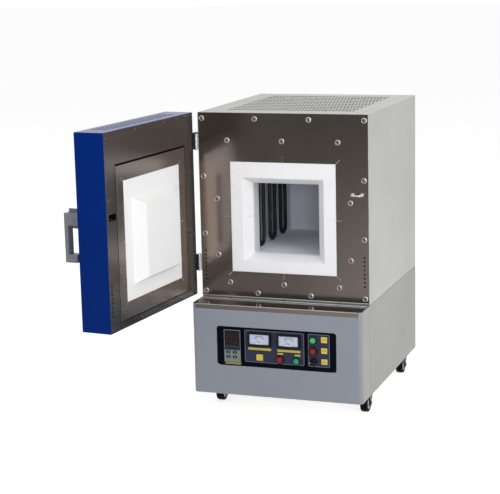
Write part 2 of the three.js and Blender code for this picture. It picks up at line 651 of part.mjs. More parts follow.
// Top panel with a field of openings over the warm space above the roof
function topPanel() {
  const side = HALF_WIDTH - TOP_RETURN_WIDTH - SEAT_GAP;
  const [front, foot] = [FRONT_PLATE_THICKNESS + SEAT_GAP, CABINET_HEIGHT - CASING_SHEET];
  const [x0, x1] = [TOP_FIELD_SIDE_MARGIN - side, side - TOP_FIELD_SIDE_MARGIN];
  const [y0, y1] = [front + TOP_FIELD_FRONT_MARGIN, CABINET_DEPTH - TOP_FIELD_BACK_MARGIN];
  const columns = openingSpans(x0, x1).map(([from, to]) =>
    block(from, to, y0, y1, foot - OVERRUN, CABINET_HEIGHT + OVERRUN));
  const rows = openingSpans(y0, y1).map(([from, to]) =>
    block(x0, x1, from, to, foot - OVERRUN, CABINET_HEIGHT + OVERRUN));
  return cut(block(-side, side, front, CABINET_DEPTH, foot, CABINET_HEIGHT),
    join(...columns).intersect(join(...rows)));
}

// Where the openings of a row begin and end, as pairs of places
function openingSpans(from, to) {
  const pitch = (to - from) / TOP_OPENINGS_PER_ROW;
  const bar = pitch * (1 - TOP_OPENING_SHARE);
  return Array.from({ length: TOP_OPENINGS_PER_ROW }, (_, i) =>
    [from + i * pitch + bar / 2, from + (i + 1) * pitch - bar / 2]);
}

// Places of the screws in the front plate, as [x, height]
function frontScrewPlaces() {
  const edge = HALF_WIDTH - SCREW_EDGE_INSET;
  const innerX = COLLAR_WIDTH / 2 + INNER_SCREW_SIDE_MARGIN;
  const cornerX = COLLAR_WIDTH / 2 + INNER_SCREW_CORNER_MARGIN;
  const places = [];
  for (let i = 0; i < 4; i += 1) {
    const x = (i / 3 - 1 / 2) * (CABINET_WIDTH - 2 * SCREW_END_INSET);
    places.push([x, CABINET_HEIGHT - SCREW_TOP_INSET], [x, SCREW_BOTTOM_INSET]);
  }
  for (const side of [-1, 1]) {
    places.push([side * edge, CABINET_HEIGHT - SCREW_SIDE_HIGH_DROP], [side * edge, SCREW_SIDE_LOW]);
    places.push([side * innerX, COLLAR_TOP - INNER_SCREW_HIGH_DROP]);
    places.push([side * innerX, COLLAR_FOOT + INNER_SCREW_LOW_RISE]);
  }
  for (let i = -1; i <= 1; i += 1) {
    places.push([i * cornerX, COLLAR_TOP + INNER_SCREW_TOP_MARGIN]);
    places.push([i * cornerX, COLLAR_FOOT - INNER_SCREW_BOTTOM_MARGIN]);
  }
  return places;
}

// A low domed screw head whose flat side is at y and whose top points to the front
function screwHead(x, y, z) {
  const profile = [
    [0, SCREW_HEAD_HEIGHT / 2], [SCREW_HEAD_RADIUS, SCREW_HEAD_HEIGHT / 2], [SCREW_HEAD_RADIUS, 0],
    [SCREW_HEAD_RADIUS * 0.7, -SCREW_HEAD_HEIGHT * 0.8], [0, -SCREW_HEAD_HEIGHT],
  ];
  return turned(profile.reverse(), x, z, ROD_SIDES).translate(0, y, 0);
}

// A column of vent holes up a plate between two depths
function ventHoles(x, y0, y1) {
  const holes = [];
  for (let i = 0; i < VENT_HOLE_COUNT; i += 1) {
    const height = VENT_HOLE_FIRST_HEIGHT + i * VENT_HOLE_PITCH;
    holes.push(rod("y", VENT_HOLE_RADIUS, y0 - OVERRUN, y1 + OVERRUN, x, height, ROD_SIDES / 2));
  }
  return holes;
}

// Relief slits that run out from a rectangular opening: four at its corners, four at its middles
function reliefSlits(x0, x1, z0, z1, y0, y1) {
  const slit = (x, z, degrees) => {
    const geometry = new THREE.BoxGeometry(2 * RELIEF_SLIT_LENGTH, y1 - y0 + 2 * OVERRUN, RELIEF_SLIT_WIDTH);
    geometry.rotateY(THREE.MathUtils.degToRad(degrees)).translate(x, (y0 + y1) / 2, z);
    return toSolid(geometry);
  };
  const [xm, zm] = [(x0 + x1) / 2, (z0 + z1) / 2];
  return [
    slit(x0, z0, -45), slit(x1, z1, -45), slit(x0, z1, 45), slit(x1, z0, 45),
    slit(x0, zm, 0), slit(x1, zm, 0), slit(xm, z0, 90), slit(xm, z1, 90),
  ];
}

// Stainless front plate round the collar
function frontPlate() {
  const side = HALF_WIDTH - CASING_SHEET - SEAT_GAP;
  const hole = COLLAR_WIDTH / 2 + SEAT_GAP;
  const sheet = block(-side, side, 0, FRONT_PLATE_THICKNESS, BASE_TOP + SEAT_GAP, CABINET_HEIGHT);
  const opening = block(-hole, hole, -OVERRUN, FRONT_PLATE_THICKNESS + OVERRUN,
    COLLAR_FOOT - SEAT_GAP, COLLAR_TOP + SEAT_GAP);
  const slits = reliefSlits(-hole, hole, COLLAR_FOOT, COLLAR_TOP, 0, FRONT_PLATE_THICKNESS);
  const vent = HALF_WIDTH - VENT_HOLE_SIDE_INSET;
  const keeperHoles = [-1, 1].map((side) => rod("y", KEEPER_ROD_RADIUS + SEAT_GAP, -OVERRUN,
    FRONT_PLATE_THICKNESS + OVERRUN, KEEPER_X + side * KEEPER_SPREAD / 2, KEEPER_HEIGHT));
  const plate = cut(sheet, opening, ...slits, ...keeperHoles,
    ...ventHoles(-vent, 0, FRONT_PLATE_THICKNESS), ...ventHoles(vent, 0, FRONT_PLATE_THICKNESS));
  return join(plate, ...frontScrewPlaces().map(([x, z]) => screwHead(x, 0, z)));
}

// Square fibre ring whose mouth narrows from the recess to the neck
function fibreCollar() {
  const outer = COLLAR_WIDTH / 2;
  const recess = RECESS_WIDTH / 2;
  const mouth = MOUTH_WIDTH / 2;
  return cut(
    block(-outer, outer, 0, COLLAR_DEPTH, COLLAR_FOOT, COLLAR_TOP),
    taper(0, [-recess, recess, RECESS_FOOT, RECESS_TOP], RECESS_DEPTH, [-mouth, mouth, MOUTH_FOOT, MOUTH_TOP]),
    block(-mouth, mouth, RECESS_DEPTH - SEAT_GAP, COLLAR_DEPTH + OVERRUN, MOUTH_FOOT, MOUTH_TOP));
}

// The space that the collar takes out of the boards round the chamber
function collarSpace() {
  const outer = COLLAR_WIDTH / 2 + SEAT_GAP;
  return block(-outer, outer, -OVERRUN, COLLAR_DEPTH + SEAT_GAP, COLLAR_FOOT - SEAT_GAP, COLLAR_TOP + SEAT_GAP);
}

// Floor, side wall, back wall and roof. The walls stand in rebates beside the floor's raised middle.
function chamberBoards() {
  const front = FRONT_PLATE_THICKNESS + SEAT_GAP;
  const half = CHAMBER_WIDTH / 2;
  const wallFoot = CHAMBER_FOOT - WALL_REBATE;
  const hearth = join(
    block(-BOARD_HALF_WIDTH, BOARD_HALF_WIDTH, front, BOARD_BACK, BASE_TOP + SEAT_GAP, wallFoot),
    block(-half + SEAT_GAP, half - SEAT_GAP, front, CHAMBER_BACK - SEAT_GAP, wallFoot - SEAT_GAP, CHAMBER_FOOT));
  const wall = block(half, BOARD_HALF_WIDTH, front, BOARD_BACK, wallFoot + SEAT_GAP, CHAMBER_TOP - SEAT_GAP);
  const rear = block(-half + SEAT_GAP, half - SEAT_GAP, CHAMBER_BACK, BOARD_BACK,
    wallFoot + SEAT_GAP, CHAMBER_TOP - SEAT_GAP);
  const roof = block(-BOARD_HALF_WIDTH, BOARD_HALF_WIDTH, front, BOARD_BACK, CHAMBER_TOP, BOARD_TOP);
  const holes = elementPlaces().flatMap(({ x, y }) => [-1, 1].map((side) => rod("z",
    ELEMENT_END_RADIUS + RUNNING_GAP, CHAMBER_TOP - OVERRUN, BOARD_TOP + OVERRUN,
    x, y + side * ELEMENT_LEG_SPACING / 2)));
  const probeHole = rod("z", PROBE_RADIUS + RUNNING_GAP, CHAMBER_TOP - OVERRUN, BOARD_TOP + OVERRUN,
    0, PROBE_DEPTH);
  const space = collarSpace();
  return {
    hearth: cut(hearth, space),
    wall: cut(wall, space),
    rear,
    roof: cut(roof, space, probeHole, ...holes),
  };
}

function elementPlaces() {
  const x = CHAMBER_WIDTH / 2 - ELEMENT_WALL_DISTANCE;
  const places = [];
  for (const [side, name] of [[-1, "left"], [1, "right"]]) {
    for (let i = 0; i < ELEMENTS_PER_SIDE; i += 1) {
      places.push({ name: `${name}_${i + 1}`, x: side * x, y: ELEMENT_FIRST_DEPTH + i * ELEMENT_PITCH });
    }
  }
  return places;
}

// A hairpin: two legs joined by a half circle at the foot, thick cold ends in a holder on the roof
function heatingElement({ x, y }) {
  const bend = ELEMENT_LEG_SPACING / 2;
  const bendHeight = CHAMBER_FOOT + ELEMENT_FOOT_CLEARANCE + ELEMENT_ROD_RADIUS + bend;
  const coldFoot = CHAMBER_TOP + ELEMENT_END_INSIDE_ROOF;
  const coldTop = BOARD_TOP + ELEMENT_END_ABOVE_ROOF;
  const route = new THREE.CurvePath();
  route.add(new THREE.EllipseCurve(0, 0, bend, bend, Math.PI, 2 * Math.PI));
  const arc = [];
  const steps = 2 * CORNER_STEPS;
  for (let i = 0; i <= steps; i += 1) {
    const point = route.getPointAt(i / steps);
    arc.push(new THREE.Vector3(x, y + point.x, bendHeight + point.y));
  }
  const section = new THREE.Shape().absarc(0, 0, ELEMENT_ROD_RADIUS, 0, 2 * Math.PI, false);
  const hairpin = toSolid(new THREE.ExtrudeGeometry(section, {
    steps, curveSegments: ROD_SIDES / 2, bevelEnabled: false, extrudePath: new THREE.CatmullRomCurve3(arc),
  }));
  const legs = [-1, 1].flatMap((side) => {
    const legY = y + side * bend;
    return [
      rod("z", ELEMENT_ROD_RADIUS, bendHeight - ELEMENT_ROD_RADIUS / 4, coldFoot + ELEMENT_ROD_RADIUS, x, legY),
      rod("z", ELEMENT_END_RADIUS, coldFoot, coldTop, x, legY),
    ];
  });
  const holderFoot = BOARD_TOP + SEAT_GAP;
  const holder = block(x - HOLDER_WIDTH / 2, x + HOLDER_WIDTH / 2, y - HOLDER_LENGTH / 2, y + HOLDER_LENGTH / 2,
    holderFoot, holderFoot + HOLDER_HEIGHT);
  return join(hairpin, ...legs, holder);
}

function thermocouple() {
  const seat = BOARD_TOP + SEAT_GAP;
  return join(
    rod("z", PROBE_RADIUS, CHAMBER_TOP - PROBE_REACH, seat + PROBE_HEAD_HEIGHT / 2, 0, PROBE_DEPTH),
    rod("z", PROBE_HEAD_RADIUS, seat, seat + PROBE_HEAD_HEIGHT, 0, PROBE_DEPTH, ROUND_SIDES));
}

// Black panel behind the window, cut for what it carries, with a raised ring round each button
function controlWindow() {
  const front = PANEL_FACE;
  const back = PANEL_FACE + PANEL_THICKNESS;
  const plate = prismXZ(windowOutline(PANEL_OVERLAP, WINDOW_CORNER_RADIUS + PANEL_OVERLAP), front, back);
  const rings = buttonPlaces().map(({ place: [x, drop] }) => rod("y", BUTTON_RADIUS + RUNNING_GAP
    + BUTTON_COLLAR_WALL, front - BUTTON_COLLAR_HEIGHT, back, x, -drop, ROUND_SIDES));
  const wells = buttonPlaces().map(({ place: [x, drop] }) => rod("y", BUTTON_RADIUS + RUNNING_GAP,
    front - BUTTON_COLLAR_HEIGHT - OVERRUN, front, x, -drop, ROUND_SIDES));
  const stemHoles = buttonPlaces().map(({ place: [x, drop] }) => rod("y", BUTTON_STEM_RADIUS + SEAT_GAP,
    front - OVERRUN, back + OVERRUN, x, -drop));
  const [knobX, knobDrop] = KNOB_PLACE;
  const knobHole = rod("y", KNOB_STEM_RADIUS + SEAT_GAP, front - OVERRUN, back + OVERRUN, knobX, -knobDrop);
  const meterHoles = METER_CENTRES.map((x) => rod("y", METER_CAN_RADIUS + SEAT_GAP, front - OVERRUN,
    back + OVERRUN, x, -METER_TOP_DROP - METER_HEIGHT / 2, ROUND_SIDES));
  const body = controllerBody(SEAT_GAP, front - OVERRUN, back + OVERRUN);
  return cut(join(plate, ...rings), ...wells, ...stemHoles, knobHole, ...meterHoles, body);
}

function controllerBody(margin, y0, y1) {
  const half = CONTROLLER_BODY_WIDTH / 2 + margin;
  const middle = -CONTROLLER_TOP_DROP - CONTROLLER_HEIGHT / 2;
  return block(CONTROLLER_CENTRE - half, CONTROLLER_CENTRE + half, y0, y1,
    middle - CONTROLLER_BODY_HEIGHT / 2 - margin, middle + CONTROLLER_BODY_HEIGHT / 2 + margin);
}

// Places of the four keys, row by row from the top left
function keyPlaces() {
  const places = [];
  for (const row of [0, 1]) {
    for (const side of [-1, 1]) {
      places.push([CONTROLLER_CENTRE - CONTROLLER_WIDTH / 20 + side * KEY_SPACING_ACROSS / 2,
        -KEY_TOP_ROW_DROP - row * KEY_SPACING_DOWN]);
    }
  }
  return places;
}

function keyOutline([x, z], margin) {
  const [halfWidth, halfHeight] = [KEY_WIDTH / 2 + margin, KEY_HEIGHT / 2 + margin];
  return roundedRectangle(x - halfWidth, x + halfWidth, z - halfHeight, z + halfHeight, halfHeight * 0.9);
}

function controller() {
  const back = PANEL_FACE - SEAT_GAP;
  const face = back - CONTROLLER_BEZEL;
  const half = CONTROLLER_WIDTH / 2;
  const top = -CONTROLLER_TOP_DROP;
  const bezel = block(CONTROLLER_CENTRE - half, CONTROLLER_CENTRE + half, face, back,
    top - CONTROLLER_HEIGHT, top);
  const display = block(CONTROLLER_CENTRE - half + DISPLAY_SIDE_MARGIN, CONTROLLER_CENTRE + half
    - DISPLAY_SIDE_MARGIN, face - OVERRUN, face + DISPLAY_RECESS,
  top - DISPLAY_TOP_MARGIN - DISPLAY_HEIGHT, top - DISPLAY_TOP_MARGIN);
  const pockets = keyPlaces().map((place) => prismXZ(keyOutline(place, SEAT_GAP), face - OVERRUN,
    face + KEY_POCKET_DEPTH));
  return cut(join(bezel, controllerBody(0, back - SEAT_GAP, back + CONTROLLER_BODY_DEPTH)), display, ...pockets);
}

function controllerKey(place) {
  const face = PANEL_FACE - SEAT_GAP - CONTROLLER_BEZEL;
  return prismXZ(keyOutline(place, 0), face - KEY_PROUD, face + KEY_POCKET_DEPTH - KEY_TRAVEL - RUNNING_GAP);
}

// Panel meter with a recessed face and the needle's axle
function meter(x) {
  const back = PANEL_FACE - SEAT_GAP;
  const face = back - METER_BEZEL;
  const top = -METER_TOP_DROP;
  const middle = top - METER_HEIGHT / 2;
  const dialFloor = face + METER_FACE_RECESS;
  const bezel = block(x - METER_WIDTH / 2, x + METER_WIDTH / 2, face, back, top - METER_HEIGHT, top);
  const can = rod("y", METER_CAN_RADIUS, back - SEAT_GAP, back + METER_CAN_DEPTH, x, middle, ROUND_SIDES);
  const dialTop = top - METER_FACE_TOP_MARGIN;
  const dial = block(x - METER_FACE_WIDTH / 2, x + METER_FACE_WIDTH / 2, face - OVERRUN, dialFloor,
    dialTop - METER_FACE_HEIGHT, dialTop);
  const axle = rod("y", NEEDLE_AXLE_RADIUS, dialFloor - NEEDLE_LIFT - NEEDLE_THICKNESS, dialFloor + SEAT_GAP,
    x, needleHeight());
  return join(cut(join(bezel, can), dial), axle);
}

function needleHeight() {
  return -METER_TOP_DROP - METER_FACE_TOP_MARGIN - METER_FACE_HEIGHT + 2 * NEEDLE_HUB_RADIUS;
}

// Needle at its zero, leaning to the left on the axle
function meterNeedle(x) {
  const dialFloor = PANEL_FACE - SEAT_GAP - METER_BEZEL + METER_FACE_RECESS;
  const y1 = dialFloor - NEEDLE_LIFT + SEAT_GAP;
  const y0 = y1 - NEEDLE_THICKNESS;
  const blade = new THREE.BoxGeometry(NEEDLE_WIDTH, y1 - y0, NEEDLE_LENGTH);
  blade.translate(0, (y0 + y1) / 2, NEEDLE_LENGTH / 2);
  blade.rotateY(-THREE.MathUtils.degToRad(NEEDLE_REST_DEGREES)).translate(x, 0, needleHeight());
  const hub = rod("y", NEEDLE_HUB_RADIUS, y0, y1, x, needleHeight());
  const bore = rod("y", NEEDLE_AXLE_RADIUS + SEAT_GAP, y0 - OVERRUN, y1 + OVERRUN, x, needleHeight());
  return cut(join(toSolid(blade), hub), bore);
}

function buttonPlaces() {
  return [
    { name: "large_red_button", place: LARGE_RED_BUTTON, material: RED_PLASTIC },
    { name: "large_green_button", place: LARGE_GREEN_BUTTON, material: GREEN_PLASTIC },
    { name: "small_green_button", place: SMALL_GREEN_BUTTON, material: GREEN_PLASTIC },
    { name: "small_red_button", place: SMALL_RED_BUTTON, material: RED_PLASTIC },
  ];
}

function pushButton([x, drop]) {
  const capBack = PANEL_FACE - BUTTON_TRAVEL - RUNNING_GAP;
  const capFace = capBack - BUTTON_CAP_THICKNESS;
  const edge = BUTTON_CAP_THICKNESS / 5;
  const profile = [
    [0, capFace], [BUTTON_RADIUS - edge, capFace], [BUTTON_RADIUS, capFace + edge], [BUTTON_RADIUS, capBack],
    [BUTTON_STEM_RADIUS, capBack], [BUTTON_STEM_RADIUS, capBack + BUTTON_STEM_LENGTH],
    [0, capBack + BUTTON_STEM_LENGTH],
  ];
  return turned(profile, x, -drop);
}

function selectorKnob() {
  const [x, drop] = KNOB_PLACE;
  const back = PANEL_FACE - RUNNING_GAP;
  const face = back - KNOB_HEIGHT;
  const edge = KNOB_GRIP_HEIGHT / 5;
  const skirt = [
    [0, face], [KNOB_RADIUS - edge, face], [KNOB_RADIUS, face + edge], [KNOB_RADIUS, back],
    [KNOB_STEM_RADIUS, back], [KNOB_STEM_RADIUS, back + KNOB_STEM_LENGTH], [0, back + KNOB_STEM_LENGTH],
  ];
  const grip = block(x - KNOB_RADIUS + edge, x + KNOB_RADIUS - edge, face - KNOB_GRIP_HEIGHT,
    face + edge, -drop - KNOB_GRIP_WIDTH / 2, -drop + KNOB_GRIP_WIDTH / 2);
  return join(turned(skirt, x, -drop), grip);
}

// Two-legged transformer with a coil round its middle, bolted to the tray by two feet
function transformer() {
  const floor = BASE_FOOT + CASING_SHEET + SEAT_GAP;
  const [halfW, halfD] = [TRANSFORMER_WIDTH / 2, TRANSFORMER_DEPTH / 2];
  const [x, y] = [TRANSFORMER_CENTRE_X, TRANSFORMER_CENTRE_Y];
  const coreFoot = floor + TRANSFORMER_FOOT_HEIGHT;
  const core = block(x - halfW, x + halfW, y - halfD / 2, y + halfD / 2, coreFoot, coreFoot + TRANSFORMER_HEIGHT);
  const leg = TRANSFORMER_HEIGHT / 5;
  const coil = prismYZ(roundedRectangle(y - halfD, y + halfD, coreFoot + leg, coreFoot + TRANSFORMER_HEIGHT - leg,
    TRANSFORMER_COIL_BULGE), x - halfW / 2, x + halfW / 2);
  const feet = [-1, 1].map((side) => block(x + side * halfW - leg / 2, x + side * halfW + leg / 2,
    y - halfD, y + halfD, floor, coreFoot + TRANSFORMER_FOOT_HEIGHT));
  return join(core, coil, ...feet);
}

// Power regulator: a module on a finned heat sink
function powerRegulator() {
  const floor = BASE_FOOT + CASING_SHEET + SEAT_GAP;
  const [halfW, halfD] = [REGULATOR_WIDTH / 2, REGULATOR_DEPTH / 2];
  const [x, y] = [REGULATOR_CENTRE_X, REGULATOR_CENTRE_Y];
  const body = block(x - halfW, x + halfW, y - halfD, y + halfD, floor, floor + REGULATOR_HEIGHT);
  const pitch = REGULATOR_WIDTH / REGULATOR_FIN_COUNT;
  const slots = [];
  for (let i = 1; i < REGULATOR_FIN_COUNT; i += 1) {
    const slotX = x - halfW + i * pitch;
    slots.push(block(slotX - pitch / 4, slotX + pitch / 4, y - halfD - OVERRUN, y + halfD + OVERRUN,
      floor + REGULATOR_HEIGHT - REGULATOR_FIN_HEIGHT, floor + REGULATOR_HEIGHT + OVERRUN));
  }
  return cut(body, ...slots);
}

// U-shaped rod that stands out of the front plate, with a nut on each leg
function latchKeeper() {
  const half = KEEPER_SPREAD / 2;
  const bar = rod("x", KEEPER_ROD_RADIUS, KEEPER_X - half - KEEPER_ROD_RADIUS, KEEPER_X + half
    + KEEPER_ROD_RADIUS, -KEEPER_REACH, KEEPER_HEIGHT);
  const legs = [-1, 1].flatMap((side) => {
    const x = KEEPER_X + side * half;
    return [
      rod("y", KEEPER_ROD_RADIUS, -KEEPER_REACH, KEEPER_TAIL, x, KEEPER_HEIGHT),
      rod("y", KEEPER_NUT_RADIUS, -SEAT_GAP - KEEPER_NUT_HEIGHT, -SEAT_GAP, x, KEEPER_HEIGHT, ROD_SIDES / 2),
    ];
  });
  return join(bar, ...legs);
}

// Knuckles of one hinge leaf: the cabinet leaf has the odd ones and the door leaf those between
function knuckles(first, middle) {
  const pitch = HINGE_HEIGHT / HINGE_KNUCKLES;
  const foot = middle - HINGE_HEIGHT / 2;
  const result = [];
  for (let i = first; i < HINGE_KNUCKLES; i += 2) {
    result.push(rod("z", HINGE_RADIUS, foot + i * pitch + SEAT_GAP / 2, foot + (i + 1) * pitch - SEAT_GAP / 2,
      HINGE_X, HINGE_BACK_OFFSET, ROUND_SIDES));
  }
  return result;
}

// What one leaf leaves free for the knuckles of the other
function knuckleRoom(first, middle) {
  const pitch = HINGE_HEIGHT / HINGE_KNUCKLES;
  const foot = middle - HINGE_HEIGHT / 2;
  const reach = HINGE_RADIUS + RUNNING_GAP;
  const result = [];
  for (let i = first; i < HINGE_KNUCKLES; i += 2) {
    result.push(block(HINGE_X - reach, HINGE_X + reach, HINGE_BACK_OFFSET - reach, HINGE_BACK_OFFSET + reach,
      foot + i * pitch - SEAT_GAP / 2, foot + (i + 1) * pitch + SEAT_GAP / 2));
  }
  return result;
}

function cabinetLeaf(middle) {
  const leafX = -HALF_WIDTH - SEAT_GAP;
  const leaf = block(leafX - HINGE_LEAF_THICKNESS, leafX, HINGE_BACK_OFFSET,
    HINGE_BACK_OFFSET + HINGE_LEAF_REACH, middle - HINGE_HEIGHT / 2, middle + HINGE_HEIGHT / 2);
  const bore = rod("z", HINGE_PIN_RADIUS + SEAT_GAP, middle - HINGE_HEIGHT / 2 - OVERRUN,
    middle + HINGE_HEIGHT / 2 + OVERRUN, HINGE_X, HINGE_BACK_OFFSET);
  return cut(join(leaf, ...knuckles(0, middle)), bore, ...knuckleRoom(1, middle));
}

// The door's leaf carries the pin, which runs through the cabinet's knuckles and has a cap at each end
function doorLeaf(middle) {
  const leafX = -HALF_WIDTH - SEAT_GAP;
  const front = -DOOR_GAP;
  const leaf = cut(
    block(leafX - HINGE_LEAF_THICKNESS, leafX, HINGE_BACK_OFFSET - HINGE_LEAF_REACH, front + DOOR_GAP / 2,
      middle - HINGE_HEIGHT / 2, middle + HINGE_HEIGHT / 2),
    ...knuckleRoom(0, middle));
  const webs = cut(
    block(leafX - HINGE_LEAF_THICKNESS, leafX, front, HINGE_BACK_OFFSET,
      middle - HINGE_HEIGHT / 2, middle + HINGE_HEIGHT / 2),
    ...knuckleRoom(0, middle));
  const end = HINGE_HEIGHT / 2 + SEAT_GAP;
  const pin = rod("z", HINGE_PIN_RADIUS, middle - end - HINGE_CAP_HEIGHT, middle + end + HINGE_CAP_HEIGHT,
    HINGE_X, HINGE_BACK_OFFSET);
  const caps = [-1, 1].map((side) => {
    const from = middle + side * end;
    const to = from + side * HINGE_CAP_HEIGHT;
    return rod("z", HINGE_CAP_RADIUS, Math.min(from, to), Math.max(from, to), HINGE_X, HINGE_BACK_OFFSET);
  });
  return join(leaf, webs, ...knuckles(1, middle), pin, ...caps);
}

// The door is built closed. A depth in it counts from its inner face to the outside.
function doorY(depth) {
  return -DOOR_GAP - depth;
}

function doorBlock(x0, x1, depth0, depth1, z0, z1) {
  return block(x0, x1, doorY(depth1), doorY(depth0), z0, z1);
}

function hookSlot(depth0, depth1) {
  const middle = KEEPER_X;
  const half = HOOK_WIDTH / 2 + HOOK_SLOT_SIDE_GAP;
  return doorBlock(middle - half, middle + half, depth0 - OVERRUN, depth1 + OVERRUN,
    HOOK_SLOT_FOOT, HOOK_SLOT_TOP);
}

function doorShell() {
  const top = DOOR_FOOT + DOOR_HEIGHT;
  const inside = HALF_WIDTH - DOOR_SHEET;
  return cut(
    doorBlock(-HALF_WIDTH, HALF_WIDTH, 0, DOOR_DEPTH, DOOR_FOOT, top),
    doorBlock(-inside, inside, -OVERRUN, DOOR_DEPTH - DOOR_SHEET, DOOR_FOOT + DOOR_SHEET, top - DOOR_SHEET),
    hookSlot(DOOR_DEPTH - DOOR_SHEET, DOOR_DEPTH));
}

function doorInnerPlate() {
  const side = HALF_WIDTH - DOOR_SHEET - SEAT_GAP;
  const hole = PLUG_PLATE_WIDTH / 2 + PLUG_PLATE_SIDE_GAP;
  const vent = HALF_WIDTH - VENT_HOLE_SIDE_INSET;
  return cut(
    doorBlock(-side, side, 0, DOOR_SHEET, DOOR_FOOT + DOOR_SHEET + SEAT_GAP,
      DOOR_FOOT + DOOR_HEIGHT - DOOR_SHEET - SEAT_GAP),
    doorBlock(-hole, hole, -OVERRUN, DOOR_SHEET + OVERRUN, PLUG_PLATE_FOOT - PLUG_PLATE_SIDE_GAP,
      PLUG_PLATE_TOP + PLUG_PLATE_TOP_GAP),
    doorBlock(LATCH_SLOT_LEFT, LATCH_SLOT_RIGHT, -OVERRUN, DOOR_SHEET + OVERRUN, LATCH_SLOT_FOOT, LATCH_SLOT_TOP),
    ...ventHoles(-vent, doorY(DOOR_SHEET), doorY(0)), ...ventHoles(vent, doorY(DOOR_SHEET), doorY(0)));
}

// Shallow tray that floats in the door's inner plate and frames the fibre plug
function plugPlate() {
  const side = PLUG_PLATE_WIDTH / 2;
  const hole = SLAB_WIDTH / 2 + SEAT_GAP;
  const slits = reliefSlits(-hole, hole, SLAB_FOOT, SLAB_TOP, doorY(DOOR_SHEET), doorY(0));
  return cut(
    doorBlock(-side, side, 0, PLUG_TRAY_DEPTH, PLUG_PLATE_FOOT, PLUG_PLATE_TOP),
    doorBlock(-side + DOOR_SHEET, side - DOOR_SHEET, DOOR_SHEET, PLUG_TRAY_DEPTH + OVERRUN,
      PLUG_PLATE_FOOT + DOOR_SHEET, PLUG_PLATE_TOP - DOOR_SHEET),
    doorBlock(-hole, hole, -OVERRUN, DOOR_SHEET + OVERRUN, SLAB_FOOT - SEAT_GAP, SLAB_TOP + SEAT_GAP),
    ...slits);
}

function doorPlug() {
  const [slab, base, front] = [SLAB_WIDTH / 2, PLUG_BASE_WIDTH / 2, PLUG_FRONT_WIDTH / 2];
  return join(
    doorBlock(-slab, slab, 0, SLAB_DEPTH, SLAB_FOOT, SLAB_TOP),
    doorBlock(-base, base, -SEAT_GAP, DOOR_SHEET, PLUG_BASE_FOOT, PLUG_BASE_TOP),
    taper(doorY(0), [-base, base, PLUG_BASE_FOOT, PLUG_BASE_TOP],
      doorY(-PLUG_REACH), [-front, front, PLUG_FRONT_FOOT, PLUG_FRONT_TOP]));
}

// Fibre filling behind the tray, with a pocket for the plug's slab and room for the latch hook
function doorInsulation() {
  const side = HALF_WIDTH - DOOR_SHEET - SEAT_GAP;
  const slab = SLAB_WIDTH / 2 + SEAT_GAP;
  const back = DOOR_DEPTH - DOOR_SHEET - SEAT_GAP;
  return cut(
    doorBlock(-side, side, PLUG_TRAY_DEPTH + SEAT_GAP, back, DOOR_FOOT + DOOR_SHEET + SEAT_GAP,
      DOOR_FOOT + DOOR_HEIGHT - DOOR_SHEET - SEAT_GAP),
    doorBlock(-slab, slab, 0, SLAB_DEPTH + SEAT_GAP, SLAB_FOOT - SEAT_GAP, SLAB_TOP + SEAT_GAP),
    doorBlock(LATCH_CAVITY_LEFT, side - DOOR_SHEET, 0, back + OVERRUN, LATCH_CAVITY_FOOT, LATCH_CAVITY_TOP));
}

// Bracket on the outer face whose cheek carries the lever's pin
function latchBracket() {
  const seat = DOOR_DEPTH + SEAT_GAP;
  const plate = cut(
    doorBlock(BRACKET_PLATE_LEFT, BRACKET_PLATE_RIGHT, seat, seat + BRACKET_SHEET,
      BRACKET_PLATE_FOOT, BRACKET_PLATE_TOP),
    hookSlot(seat, seat + BRACKET_SHEET));
  const cheekRight = LEVER_LEFT - SEAT_GAP;
  const cheek = doorBlock(cheekRight - BRACKET_CHEEK_THICKNESS, cheekRight, seat,
    DOOR_DEPTH + BRACKET_CHEEK_REACH, BRACKET_CHEEK_FOOT, BRACKET_CHEEK_TOP);
  const leverRight = LEVER_LEFT + LEVER_THICKNESS;
  const pin = rod("x", LATCH_PIN_RADIUS, cheekRight - SEAT_GAP, leverRight + SEAT_GAP + BRACKET_SHEET,
    doorY(LATCH_PIVOT_DEPTH), LATCH_PIVOT_HEIGHT, ROUND_SIDES);
  const head = rod("x", LATCH_PIN_RADIUS * 1.6, leverRight + SEAT_GAP, leverRight + SEAT_GAP + BRACKET_SHEET,
    doorY(LATCH_PIVOT_DEPTH), LATCH_PIVOT_HEIGHT, ROUND_SIDES);
  return join(plate, cheek, pin, head);
}

// Lever: a grip frame outside the door and a hook that reaches through it to the keeper
function latchHandle() {
  const outer = DOOR_DEPTH + LEVER_REACH;
  const leverRight = LEVER_LEFT + LEVER_THICKNESS;
  const grip = (depth0, depth1, z0, z1) => doorBlock(LEVER_LEFT, leverRight, depth0, depth1, z0, z1);
  const frame = join(
    grip(DOOR_DEPTH + LEVER_HEAD_STANDOFF, outer, LEVER_HEAD_FOOT, LEVER_TOP),
    grip(outer - LEVER_BAR, outer, LEVER_FOOT, LEVER_TOP),
    grip(DOOR_DEPTH + LEVER_TAIL_STANDOFF, outer, LEVER_FOOT, LEVER_TAIL_TOP));
  const [hookLeft, hookRight] = [KEEPER_X - HOOK_WIDTH / 2, KEEPER_X + HOOK_WIDTH / 2];
  const arm = doorBlock(hookLeft, hookRight, HOOK_CLAW_INSET, DOOR_DEPTH + LEVER_HEAD_STANDOFF + LEVER_BAR,
    HOOK_ARM_FOOT, HOOK_ARM_TOP);
  const claw = doorBlock(hookLeft, hookRight, HOOK_CLAW_INSET, HOOK_CLAW_INSET + HOOK_CLAW_THICKNESS,
    HOOK_ARM_FOOT, HOOK_CLAW_TOP);
  const bore = rod("x", LATCH_PIN_RADIUS + SEAT_GAP, LEVER_LEFT - OVERRUN, leverRight + OVERRUN,
    doorY(LATCH_PIVOT_DEPTH), LATCH_PIVOT_HEIGHT, ROUND_SIDES);
  return cut(join(frame, arm, claw), bore);
}

